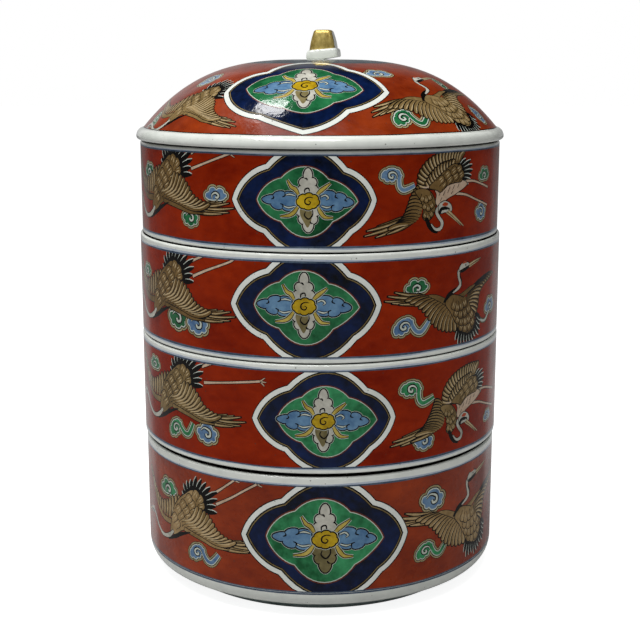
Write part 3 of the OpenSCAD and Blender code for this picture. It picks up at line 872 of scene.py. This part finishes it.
def tier_outside(radius, mouth_r, mouth_below_r, seat_z, height, seam, red_low, red_high, figures, seed,
                 top_band="white"):
    """All the surfaces of a tier that stands on another one."""
    ring = ring_below(mouth_below_r - RING_CLEARANCE, RING_W, seat_z, RING_H)
    land_r = mouth_below_r + LAND_W
    heel = arc(radius - HEEL_ROUND, seat_z + seam + HEEL_ROUND, HEEL_ROUND, HEEL_ROUND, -90, 0, 6)
    rim_z = seat_z + height
    return [
        turned([(0, seat_z), (UNDER_R, seat_z), ring[0]], "white"),
        turned(np.vstack([ring, [(land_r, seat_z)]]), "bare"),
        # The land's step is coloured near black: painted shade for the seam.
        turned([(land_r, seat_z), (land_r, seat_z + seam), heel[0]], "seam_painted_shade"),
        turned(heel, "white"),
        painted_wall(radius, heel[-1][1], rim_z - SHOULDER, red_low, red_high, figures, seed, top_band),
        *tier_inside(radius, mouth_r, rim_z, seat_z + FLOOR_T),
    ]


TRAILING_WING = ([(39.6, 174.2), (41.2, 171), (41.8, 168), (41.2, 165), (39.4, 162.8), (36.6, 161.6)],
                 [(38.6, 175.4), (36.3, 171.6), (34.8, 167.6), (33, 163.8), (29.6, 160.9), (26.8, 159.8)],
                 [(36.6, 165), (37.4, 162)], [(22.6, 161.2), (15.9, 158.4), (18.2, 157.4), (22, 157),
                                              (26.4, 158)])


def turning_crane(trailing=TRAILING_WING):
    """A crane that turns over in a dive, its neck curled back under it: one wing up, one trailing left."""
    marks = fan([(57.6, 183.4), (60.5, 182.5), (62.4, 180), (62.4, 177.4)],
                [(59, 185.4), (64.6, 186), (68.6, 183.8), (70.8, 180.6), (70.6, 177.6), (67.4, 174.8)], 10,
                2.7, 0.3, 0.6, black_plume, 0.14)
    for leg in ([(59.5, 172), (66, 171), (74, 168.4), (84.5, 165.3)],
                [(66, 176.4), (71, 176.2), (77, 174.8), (85, 172.6)]):
        marks += inked("leg", stroke(leg, 0.85, (1.3, 0.9, 0.8, 0.9)), 0.3)
    marks += fan([(45.5, 175.6), (48, 178.6), (52, 181.2), (57, 183.4), (60.5, 184)],
                 [(39.2, 176.6), (39.8, 181.2), (43.6, 185.6), (49.6, 188.4), (57.4, 189.4), (64.6, 188.6)],
                 17, 2.3, (0.02, 0.08, 0.12, 0.1))
    marks += fan([(47, 174.6), (50, 176.6), (54, 179), (58, 181)],
                 [(43.4, 177.6), (46.2, 181.2), (51, 184.2), (58.2, 185.4)], 11, 2.2, (0.06, 0.12, 0.12))
    belly = smooth([(41, 175), (45.6, 175.6), (48.6, 172.6), (48.4, 169), (50.4, 167.6), (54.4, 170.2),
                    (59.6, 172), (66.6, 175.2), (62, 177.2), (56, 176.4), (52, 175.4)], True)
    marks += inked("leg", belly)
    marks += drawn([[(52, 171.4), (53.4, 173.6)], [(54.6, 172.4), (56, 174.8)],
                    [(57.4, 173.4), (58.6, 175.4)], [(60.4, 174.2), (61.4, 175.8)],
                    [(50.6, 169.4), (51.6, 171)], [(56.6, 171.9), (57.8, 173.2)],
                    [(53.6, 174.6), (54.6, 175.6)], [(49.8, 171.6), (50.9, 173.4)]], 0.35)
    body = smooth([(45, 175.2), (48, 177.8), (52.6, 181), (57, 183.4), (61, 183), (63.2, 180), (63, 176.8),
                   (59, 176.4), (54.6, 175.6), (51, 173.2), (48.8, 174)], True)
    marks += inked("feather", body)
    marks += scales([[(62.2, 177.8), (62.4, 180.2), (60, 182.4)],
                     [(58.8, 177.2), (59.2, 179.8), (56.6, 181.8)],
                     [(55.2, 176.4), (55.8, 178.8), (53, 180.2)], [(51.8, 175), (52.2, 177), (49.8, 178.2)]],
                    2.9)
    roots, tips, primary_roots, primary_tips = trailing
    marks += fan(primary_roots, primary_tips, 5, (1.5, 1.2), 0.02, make=quill)
    marks += fan(roots, tips, 13, (2.1, 2.0, 1.5), (-0.06, -0.1, -0.06))
    arm = smooth([(38.4, 174), (41.6, 174.8), (45, 173.8), (47.6, 170.6), (48, 166.6), (46.4, 163.4),
                  (44, 162.2), (42, 163.8), (42.4, 167), (41, 170.4)], True)
    marks += inked("feather", arm)
    marks += scales([[(42.6, 165.2), (44.6, 163.8), (46.8, 165.4)],
                     [(42.2, 168.6), (44.6, 167.2), (47, 168.8)],
                     [(41, 171.6), (43.6, 170.6), (46, 172)]], 2.0)
    marks.append(("ink", stroke([(43.6, 163.4), (45, 160.6), (47, 158.4), (49.6, 157.2)], 2.1,
                                (0.7, 1, 0.9, 0.4))))
    neck = [(46.2, 160.8), (48.4, 158.6), (51.1, 158.8), (51.9, 161), (50, 163.4), (48.9, 165.4), (50, 167.2),
            (52, 168)]
    marks += inked("petal", stroke(neck, 1.35, (0.3, 1, 1, 1, 1)), 0.3)
    head = smooth([(49.8, 167.2), (51, 168.8), (53.4, 169.4), (56.2, 168.2), (57.3, 166), (56, 164.7),
                   (53.4, 165), (51, 164.8)],
                  True)
    marks += inked("petal", head)
    marks += [("ink", stroke([(50.6, 164.4), (51.2, 166.2), (53.4, 166.6), (56, 166)], 1.4,
                             (0.8, 1, 1, 0.5))),
              ("crown_red", smooth([(51.8, 167.8), (53, 168.9), (55, 168.4), (54.2, 167.4)], True)),
              ("petal", stroke([(54.6, 165.9), (55.4, 165.7)], 0.5, (0.8, 1, 0.8)))]
    marks += inked("feather_light", stroke([(55.2, 165.4), (60, 162), (64.8, 158.6)], 0.9, (1, 0.8, 0.3)),
                   0.2)
    marks += inked("feather_light", stroke([(54.2, 164.8), (58.6, 162), (63, 159)], 0.6, (1, 0.7, 0.2)), 0.18)
    return placed(marks, (-52, -172))


LONG_WING = ([(39.5, 175.2), (40.4, 171.4), (40.8, 168.4), (39.4, 166), (35.6, 164.6)],
             [(35, 177.4), (33.9, 174.2), (32, 170.5), (29.5, 167.2), (25.6, 164.2)],
             [(34.6, 168), (35.6, 164.8)], [(20, 164.6), (13.2, 162), (15, 161.2), (19.2, 161), (23.8, 162)])
SECOND_LEGS = ([(-45, 50), (-38, 52.6), (-24, 56.4), (-14, 59)], [(-44, 43.5), (-36, 44.6), (-18, 47)])
second_figures = arranged(
    (crest_cloud("green"), (-85.5, 98), 0.95),
    (round_cloud("blue"), (-49, 75.2), 1.15),
    (trailing_cloud("green"), (-63.4, 74.6), 1.0, 12),
    (diving_crane(SECOND_LEGS), (-68, 90)),
    (trailing_cloud("green"), (41.6, 92.6), 1.0, -30),
    (round_cloud("blue"), (44.4, 72.8), 0.98),
    (crest_cloud("blue"), (90.5, 74), 0.8),
    (turning_crane(LONG_WING), (66.4, 83.4)),
    (medallion(WALL_PANEL, green_field(-0.3, 1.09)), (1.6, 85), 1.02),
    (blossom(), (1.3, 84.9), 1.04),
    # A lighter copy of the green: painted light on this tier.
    swaps={"green": "green_thin"})
second_patches = tier_outside(SECOND_R, SECOND_MOUTH_R, BOTTOM_MOUTH_R, SECOND_Z, SECOND_H, SECOND_SEAM,
                              *SECOND_RED, second_figures, SECOND_BRUSH)
fired("painted_second_tier", second_patches, "second_tier", "second_tier")

# Third tier: the same again, a little less deep. Its ring stands in the mouth of the
# second tier, where it can be lifted straight out.
THIRD_R = 79.0
THIRD_MOUTH_R = 73.8
THIRD_Z = 107.5
THIRD_H = 43.4
SEAM = 0.5
THIRD_RED = (110.34, 147.73)
THIRD_BRUSH = 33
THIRD_LEGS = ([(-46, 50), (-41, 52), (-35, 54.4)], [(-45, 44), (-38, 47), (-26, 51.6), (-24.4, 54)])
TAIL_CLOUD = [(77, 121), (80, 117.8), (84.6, 117.2), (88.6, 120.4)]
TAIL_RINGS = (("ink", 2.2), ("gold", 1.8), ("ink", 1.4), ("pale", 1.0))
third_figures = arranged(
    (crest_cloud("green"), (-92, 137.2), 0.85),
    (round_cloud("green"), (-65, 121), 1.25),
    (round_cloud("blue"), (-53, 120), 1.2),
    (diving_crane(THIRD_LEGS), (-72, 132.4)),
    (crest_cloud("green"), (40, 136.4)),
    (trailing_cloud("blue"), (38.6, 120.6)),
    (crest_cloud("blue"), (90, 122.4), 1.1),
    ([(enamel, stroke(TAIL_CLOUD, width, (0.3, 1, 1, 1))) for enamel, width in TAIL_RINGS], (0, 0)),
    (rising_crane(), (62, 127)),
    (medallion(WALL_PANEL, green_field(-1.0, 1.04)), (-6, 130.6), 1.06),
    (blossom(), (-6.2, 130.8), 1.05),
    # A darker copy of the feather tan: painted shade on this tier.
    swaps={"feather": "feather_thick"})
third_patches = tier_outside(THIRD_R, THIRD_MOUTH_R, SECOND_MOUTH_R, THIRD_Z, THIRD_H, SEAM,
                             *THIRD_RED, third_figures, THIRD_BRUSH)
fired("painted_third_tier", third_patches, "third_tier", "third_tier")

# Top tier: the shallowest and narrowest one. The lid's lip drops into its mouth, and
# the flange of the lid shades the top of its painted wall; that top band is also laid in dark blue as painted
# shade.
TOP_R = 78.0
TOP_MOUTH_R = 72.8
TOP_Z = 150.9
TOP_H = 39.4
TOP_RED = (153.68, 188.4)
TOP_BRUSH = 44
TOP_LEGS = ([(-45, 50), (-40, 52.6), (-32, 57)], [(-45, 44), (-38, 46.4), (-26, 50.6)])
top_figures = arranged(
    (crest_cloud("green"), (-87.6, 179)),
    (round_cloud("green"), (-56, 162.5), 0.95),
    (crest_cloud("blue"), (-42.4, 172.4), 0.98),
    (diving_crane(TOP_LEGS), (-72, 175)),
    (trailing_cloud("blue"), (31.4, 178), 0.9, -30),
    (crest_cloud("green"), (81, 178), 0.9),
    (round_cloud("blue"), (78.4, 163), 0.95),
    (turning_crane(), (52, 172)),
    (medallion(WALL_PANEL, WALL_GREEN), (-6.6, 171.4)),
    (blossom(), (-4.6, 171.3)),
    # A darker copy of the feather tan: painted shade on this tier.
    swaps={"feather": "feather_thick"})
# The white top band is laid in the dark blue line enamel: painted shade under the lid's flange.
top_patches = tier_outside(TOP_R, TOP_MOUTH_R, THIRD_MOUTH_R, TOP_Z, TOP_H, SEAM,
                           *TOP_RED, top_figures, TOP_BRUSH, "line_blue")
fired("painted_top_tier", top_patches, "top_tier", "top_tier")

# Lid: a thin domed shell thrown in one with its white rolled flange, with a lip inside
# that locates it in the top tier. The dome is painted up to a grey ring on its crown,
# and the white patch inside the ring carries the knob.
FLANGE_R = 79.6
ROLL_W = 3
ROLL_H = 3.5
FLANGE_UNDER_H = 1.3
DOME_RISE = 28.6
DOME_FULLNESS = 3.25
LID_T = 4.8
LIP_H = 5
LIP_W = 3.6
CROWN_R = 11.72
LID_Z = TOP_Z + TOP_H
ROLL_Z = LID_Z + SEAM + FLANGE_UNDER_H
EDGE_Z = ROLL_Z + ROLL_H
EDGE_R = FLANGE_R - ROLL_W
PLAN_R = 60
RED_EDGE = 0.2
GREY_REACH = 32.6
WHITE_REACH = 18
LID_BRUSH = 55
DOME_STEPS = 1500
DOME_ROWS = 30
INSIDE_STEPS = 600
INSIDE_STRIDE = 22
DISC_MIDDLE = 0.375
DISC_R = 0.365


def dome_z(radius):
    return EDGE_Z + DOME_RISE * (1 - (radius / EDGE_R) ** DOME_FULLNESS)


def dome_slope(radius):
    return -DOME_RISE * DOME_FULLNESS / EDGE_R * (radius / EDGE_R) ** (DOME_FULLNESS - 1)


DOME_RADII = np.linspace(0, EDGE_R, DOME_STEPS)
DOME_WALK = np.concatenate([[0], np.cumsum(np.hypot(np.diff(DOME_RADII), np.diff(dome_z(DOME_RADII))))])
CROWN_WALK = float(np.interp(CROWN_R, DOME_RADII, DOME_WALK))


def unrolled(marks):
    """Marks moved from the dome's plan, where distance from the middle is the way down, to a flat strip."""
    return [(enamel, np.stack([np.arctan2(outline[:, 0], -outline[:, 1]) * PLAN_R, np.hypot(*outline.T)], 1))
            for enamel, outline in marks]


def dome_wrap(spots):
    radius = np.interp(spots[:, 1], DOME_WALK, DOME_RADII)
    slope = dome_slope(radius)
    length = np.hypot(1, slope)
    angle = spots[:, 0] / PLAN_R
    return wrapped(angle, radius, dome_z(radius)), wrapped(angle, -slope / length, 1 / length)


def dome_page(corners, field):
    """Lays the dome out as a disc in one corner of the page."""
    reach = corners[:, :, 1] / field[3] * DISC_R
    angle = corners[:, :, 0] / PLAN_R
    return np.stack([DISC_MIDDLE + reach * np.sin(angle), DISC_MIDDLE - reach * np.cos(angle)], 2)


LID_PANEL = ([(34.8, -1.0), (18.2, 14.0), (-15.0, 14.7), (-33.2, 5.7), (-19.5, -17.9), (-0.9, -29.3),
              (18.6, -18.1)],
             (0.1, 0.31, 0.15, 0.16, 0.04, 0.12, 0.11))
LID_GREEN = ([(23.9, -3.3), (12.2, 7.6), (-9.9, 9.0), (-23.5, 2.9), (-8.6, -14.6), (0.8, -18.9),
              (12.2, -13.2)],
             (0.1, 0.24, 0.12, 0.14, 0.08, 0.1, 0.1))
lid_figures = arranged(
    (round_cloud("blue"), (-46.4, -27), 1.1),
    (crest_cloud("green"), (-74.3, -29), 0.9, 60),
    (diving_crane(), (-53.5, -44.4), 0.88, -47),
    (crest_cloud("blue"), (24, -41), 1.1, 25),
    (trailing_cloud("green"), (39.5, -66.5), 1.12, 30),
    (crest_cloud("green"), (51.4, -25.5), 0.8, -40),
    (round_cloud("blue"), (71, -31), 1.0),
    (rising_crane(), (50.5, -47), 1.05, 50),
    (medallion(LID_PANEL, LID_GREEN, 2.0), (-6.5, -55)),
    (blossom(), (-6.1, -56.9), 1.16, -3))
lid_field = (-math.pi * PLAN_R / 2, 1.5 * math.pi * PLAN_R, CROWN_WALK, float(DOME_WALK[-1]))
red_edge = hand_line(lid_field, DOME_WALK[-1] - RED_EDGE, 0.2, LID_BRUSH)
crown_edge = hand_line(lid_field, CROWN_WALK, 0, 0)
# The lid's red is the warmer, lighter copy: partly painted light.
lid_marks = [("warm_red", band(crown_edge, red_edge))]
lid_marks += [(name, band(crown_edge, hand_line(lid_field, reach, 0.3, LID_BRUSH + 1)))
              for name, reach in (("crown_grey", GREY_REACH), ("white", WHITE_REACH))]
lid_marks += both_sides(unrolled(lid_figures), PLAN_R)
lid_marks += [("white", band(red_edge, hand_line(lid_field, DOME_WALK[-1], 0, 0))),
              ("ink", band(red_edge - [0, 0.35], red_edge + [0, 0.1]))]
dome_rows = CROWN_WALK + (lid_field[3] - CROWN_WALK) * np.sin(np.linspace(0, math.pi / 2, DOME_ROWS))[1:-1]
lip_r = TOP_MOUTH_R - RING_CLEARANCE
lip_inner_r = lip_r - LIP_W
crown_z = dome_z(CROWN_R)
inside_radii = np.linspace(0, EDGE_R, INSIDE_STEPS)
inside_length = np.hypot(1, dome_slope(inside_radii))
inside_line = np.stack([inside_radii + LID_T * dome_slope(inside_radii) / inside_length,
                        np.minimum(dome_z(inside_radii), crown_z) - LID_T / inside_length], 1)
inside_line = inside_line[inside_line[:, 0] < lip_inner_r - 0.1]
kept_rows = np.append(np.arange(0, len(inside_line), INSIDE_STRIDE), len(inside_line) - 1)
inside_line = inside_line[np.unique(kept_rows)]
hollow_top = (lip_inner_r, inside_line[-1][1] - 0.35)
lip = ring_below(lip_r, LIP_W, LID_Z, LIP_H)[1:]
land_r = TOP_MOUTH_R + LAND_W
under_roll = arc(FLANGE_R - FLANGE_UNDER_H, ROLL_Z, FLANGE_UNDER_H, FLANGE_UNDER_H, -90, 0, 6)
roll = arc(EDGE_R, ROLL_Z, ROLL_W, ROLL_H, 0, 90, 12)
lid_patches = [
    turned(np.vstack([inside_line, [hollow_top], [(lip_inner_r, LID_Z)], lip[:1]]), "white"),
    turned(np.vstack([lip, [(land_r, LID_Z)]]), "bare"),
    # The land's step under the flange is coloured near black: painted shade for the seam.
    turned([(land_r, LID_Z), (land_r, LID_Z + SEAM), under_roll[0]], "seam_painted_shade"),
    turned(np.vstack([under_roll, roll]), "white"),
    painted(lid_marks, lid_field, dome_rows, dome_wrap, dome_page),
    turned([(CROWN_R, crown_z), (6, crown_z), (0, crown_z)], "white"),
]
fired("painted_lid", lid_patches, "lid", "lid")

# Knob: a four-sided grip on a square pad, pinched from porcelain and stuck on with slip
# before firing, a little askew. Its front, top and back are gilt over the white glaze and
# burnished; the right side was left white, and one side of the pad lifts off the crown.
PAD_W = 13.6
PAD_D = 15
PAD_H = 4.6
KNOB_H = 12.5
GRIP_W = 11
GRIP_D = 12.4
GRIP_TOP_W = 7.2
GRIP_TOP_D = 8.6
PAD_LIFT = 1.2
KNOB_X = 1.6
KNOB_TURN = math.radians(-8)
PAD_TILT = 0.085
GILT_FROM = 6
ENAMELS["gilt"] = glaze("burnished_gold", (140, 112, 44), (236, 212, 130), 150, 0.6, 0.5, 0.3, 0.5, 0.55)
ENAMEL_NAMES.append("gilt")


def rounded_ring(half_w, half_d, corner):
    """A rounded rectangle as points in the plan, walked counterclockwise."""
    points = []
    for quarter, (x, y) in enumerate(((1, 1), (-1, 1), (-1, -1), (1, -1))):
        centre = ((half_w - corner) * x, (half_d - corner) * y)
        points += list(arc(*centre, corner, corner, 90 * quarter, 90 * quarter + 90, 8))
        after = ((-1, 1), (-1, -1), (1, -1), (1, 1))[quarter]
        end = np.array([(half_w - corner) * after[0], (half_d - corner) * after[1]])
        end = end + corner * np.array([(0, 1), (-1, 0), (0, -1), (1, 0)][quarter])
        points += [points[-1] + (end - points[-1]) * share for share in (0.25, 0.5, 0.75)]
    return np.array(points)


def knob_levels():
    """Half width, half depth, corner, height and tilt of each section, from the base to the top."""
    sink = 0.35
    levels = [(PAD_W / 2 - sink, PAD_D / 2 - sink, 1.8, 0.0, 0), (PAD_W / 2, PAD_D / 2, 1.8, 0.5, 0),
              (PAD_W / 2 - 0.1, PAD_D / 2 - 0.1, 1.8, PAD_H * 0.5, 0.4),
              (PAD_W / 2 - 0.3, PAD_D / 2 - 0.3, 1.8, PAD_H - 1.1, 1),
              (PAD_W / 2 - 0.65, PAD_D / 2 - 0.65, 1.8, PAD_H - 0.6, 1),
              (GRIP_W / 2 + 0.25, GRIP_D / 2 + 0.25, 1.7, PAD_H - 0.35, 1),
              (GRIP_W / 2, GRIP_D / 2, 1.6, PAD_H - 0.3, 1)]
    for share in (0.08, 0.3, 0.55, 0.8, 0.9):
        height = PAD_H + (KNOB_H - PAD_H) * share
        swell = 0.25 * math.sin(math.pi * share)
        levels.append(((GRIP_W + (GRIP_TOP_W - GRIP_W) * share) / 2 + swell,
                       (GRIP_D + (GRIP_TOP_D - GRIP_D) * share) / 2 + swell,
                       1.6, height, 1 - share))
    for turn in (30, 50, 68, 80):
        shrink = 1.3 * (1 - math.cos(math.radians(turn)))
        height = KNOB_H - 0.85 + 0.8 * math.sin(math.radians(turn))
        levels.append((GRIP_TOP_W / 2 + 0.1 - shrink, GRIP_TOP_D / 2 + 0.1 - shrink, 1.5 - shrink * 0.5,
                       height, 0))
    levels.append((1.1, 1.5, 0.6, KNOB_H - 0.02, 0))
    return levels


def knob_patch():
    levels = knob_levels()
    rings = []
    for half_w, half_d, corner, height, tilt in levels:
        plan = rounded_ring(half_w, half_d, corner)
        base = np.maximum(0, plan[:, 0] * 2 * PAD_LIFT / PAD_W) * max(0, 1 - height / (PAD_H * 0.6))
        rise = plan[:, 0] * PAD_TILT * tilt * (height < KNOB_H - 1)
        rings.append(np.column_stack([plan, height + base + rise]))
    grid = np.array(rings)
    count, around = grid.shape[:2]
    across = np.roll(grid, -1, 1) - np.roll(grid, 1, 1)
    up = np.gradient(grid, axis=0)
    facing = np.cross(across, up)
    facing /= np.maximum(np.linalg.norm(facing, axis=2, keepdims=True), 1e-9)
    points = np.vstack([grid.reshape(-1, 3), [(0, 0, 0.0), (0, 0, KNOB_H)]])
    tris, normals, uvs, kinds = [], [], [], []
    white, gilt = ENAMEL_NAMES.index("white"), ENAMEL_NAMES.index("gilt")
    for j in range(count - 1):
        for k in range(around):
            after = (k + 1) % around
            corners = ((j, k, k), (j, after, k + 1), (j + 1, after, k + 1), (j + 1, k, k))
            middle = facing[j, k]
            for pick in ((0, 1, 2), (0, 2, 3)):
                tris.append([corners[i][0] * around + corners[i][1] for i in pick])
                normals.append([facing[corners[i][0], corners[i][1]] for i in pick])
                uvs.append([[0.01 + 0.98 * corners[i][2] / around, 0.1 + 0.8 * corners[i][0] / (count - 1)]
                            for i in pick])
                kinds.append(white if j < GILT_FROM or middle[0] > 0.93 and j < count - 5 else gilt)
    for k in range(around):
        after = (k + 1) % around
        for ring, tip, way, low in ((0, len(points) - 2, -1, 0.01), (count - 1, len(points) - 1, 1, 0.91)):
            tris.append([ring * around + k, ring * around + after, tip])
            normals.append([[0, 0, way]] * 3)
            uvs.append([[0.01 + 0.98 * k / around, low], [0.01 + 0.98 * (k + 1) / around, low],
                        [0.01 + 0.98 * (k + 0.5) / around, low + 0.08]])
            kinds.append(gilt if way > 0 else white)
    turn = np.array([[math.cos(KNOB_TURN), math.sin(KNOB_TURN), 0],
                     [-math.sin(KNOB_TURN), math.cos(KNOB_TURN), 0], [0, 0, 1]])
    return {"points": points @ turn + [KNOB_X, 0, crown_z], "tris": np.array(tris), "kinds": np.array(kinds),
            "normals": np.array(normals, float) @ turn, "uvs": np.array(uvs), "length": 0}


fired("gilt_knob", [knob_patch()], "lid", "knob")

# The room: a plain white floor under a pale sky and two soft lamps, and the camera where the
# photograph's was, a little above the lid's edge and looking slightly down
FLOOR_HALF = 6.0
FLOOR_TONE = (0.5, 0.5, 0.5, 1)
FLOOR_ROUGH = 0.9
FLOOR_SHINE = 0.1
EYE_LENS = 69.3
EYE_SENSOR_W = 36
EYE_NEAR = 0.01
EYE_AT = (0, -0.5448, 0.2225)
EYE_DIP = 11.773
SKY_LOW = 0.03
SKY_HIGH = 0.4
ROOM_GLOSS = 0.05
CARD_GLOSS = 0.45
FLOOR_GLOW = 0.88
floor_mesh = bpy.data.meshes.new("floor")
floor_corners = [(x * FLOOR_HALF, y * FLOOR_HALF, 0) for x, y in ((-1, -1), (1, -1), (1, 1), (-1, 1))]
floor_mesh.from_pydata(floor_corners, [], [(0, 1, 2, 3)])
floor_paint = bpy.data.materials.new("floor_white")
floor_paint.use_nodes = True
floor_tree = floor_paint.node_tree
floor_skin = floor_tree.nodes["Principled BSDF"]
for socket, value in (("Base Color", FLOOR_TONE), ("Roughness", FLOOR_ROUGH),
                      ("Specular IOR Level", FLOOR_SHINE),
                      ("Emission Color", (1, 1, 1, 1))):
    floor_skin.inputs[socket].default_value = value
floor_seen = node(floor_tree, "LightPath").outputs["Is Camera Ray"]
floor_tree.links.new(product(floor_tree, floor_seen, FLOOR_GLOW), floor_skin.inputs["Emission Strength"])
floor_mesh.materials.append(floor_paint)
floor = bpy.data.objects.new("floor", floor_mesh)
bpy.context.scene.collection.objects.link(floor)

world = bpy.data.worlds.new("studio")
bpy.context.scene.world = world
world.use_nodes = True
sky = world.node_tree
sky_way = sky.nodes.new("ShaderNodeTexCoord").outputs["Generated"]
sky_parts = node(sky, "SeparateXYZ", sockets={0: sky_way}).outputs
off_right = product(sky, remapped(sky, sky_parts[0], -0.35, 0.3), remapped(sky, sky_parts[2], -0.1, 0.2))
card = remapped(sky, sky_parts[1], 0.78, 0.87, ROOM_GLOSS, CARD_GLOSS)
card = product(sky, card, remapped(sky, off_right, 0.0, 1.0, 1.0, 0.15))
overhead = remapped(sky, sky_parts[2], 0.0, 0.75, SKY_LOW, SKY_HIGH)
seen = node(sky, "LightPath")
dull = product(sky, seen.outputs["Is Diffuse Ray"], overhead)
shiny = product(sky, seen.outputs["Is Glossy Ray"], card)
level = shiny
for share in (seen.outputs["Is Camera Ray"], seen.outputs["Is Transmission Ray"], dull):
    level = node(sky, "Math", operation="MAXIMUM", sockets={0: share, 1: level}).outputs[0]
sky.nodes["Background"].inputs["Color"].default_value = (1, 1, 1, 1)
sky.links.new(level, sky.nodes["Background"].inputs["Strength"])


def lamp(name, place, aim, width, depth, power):
    """A soft lamp box that faces a point."""
    light = bpy.data.lights.new(name, "AREA")
    light.shape = "RECTANGLE"
    light.size = width
    light.size_y = depth
    light.energy = power
    made = bpy.data.objects.new(name, light)
    made.location = place
    made.rotation_euler = (Vector(aim) - Vector(place)).to_track_quat("-Z", "Y").to_euler()
    bpy.context.scene.collection.objects.link(made)


lamp("top_lamp", place=(-0.36, 0.12, 1.34), aim=(0, 0, 0.2), width=0.22, depth=0.22, power=5.5)
lamp("front_lamp", place=(-0.2, -0.55, 1.3), aim=(0, -0.05, 0.15), width=0.9, depth=0.4, power=12.0)

eye = bpy.data.cameras.new("camera")
eye.lens = EYE_LENS
eye.sensor_width = EYE_SENSOR_W
eye.clip_start = EYE_NEAR
camera = bpy.data.objects.new("camera", eye)
camera.location = EYE_AT
camera.rotation_euler = (math.radians(90 - EYE_DIP), 0, 0)
bpy.context.scene.collection.objects.link(camera)
bpy.context.scene.camera = camera
bpy.context.scene.view_settings.view_transform = "Standard"
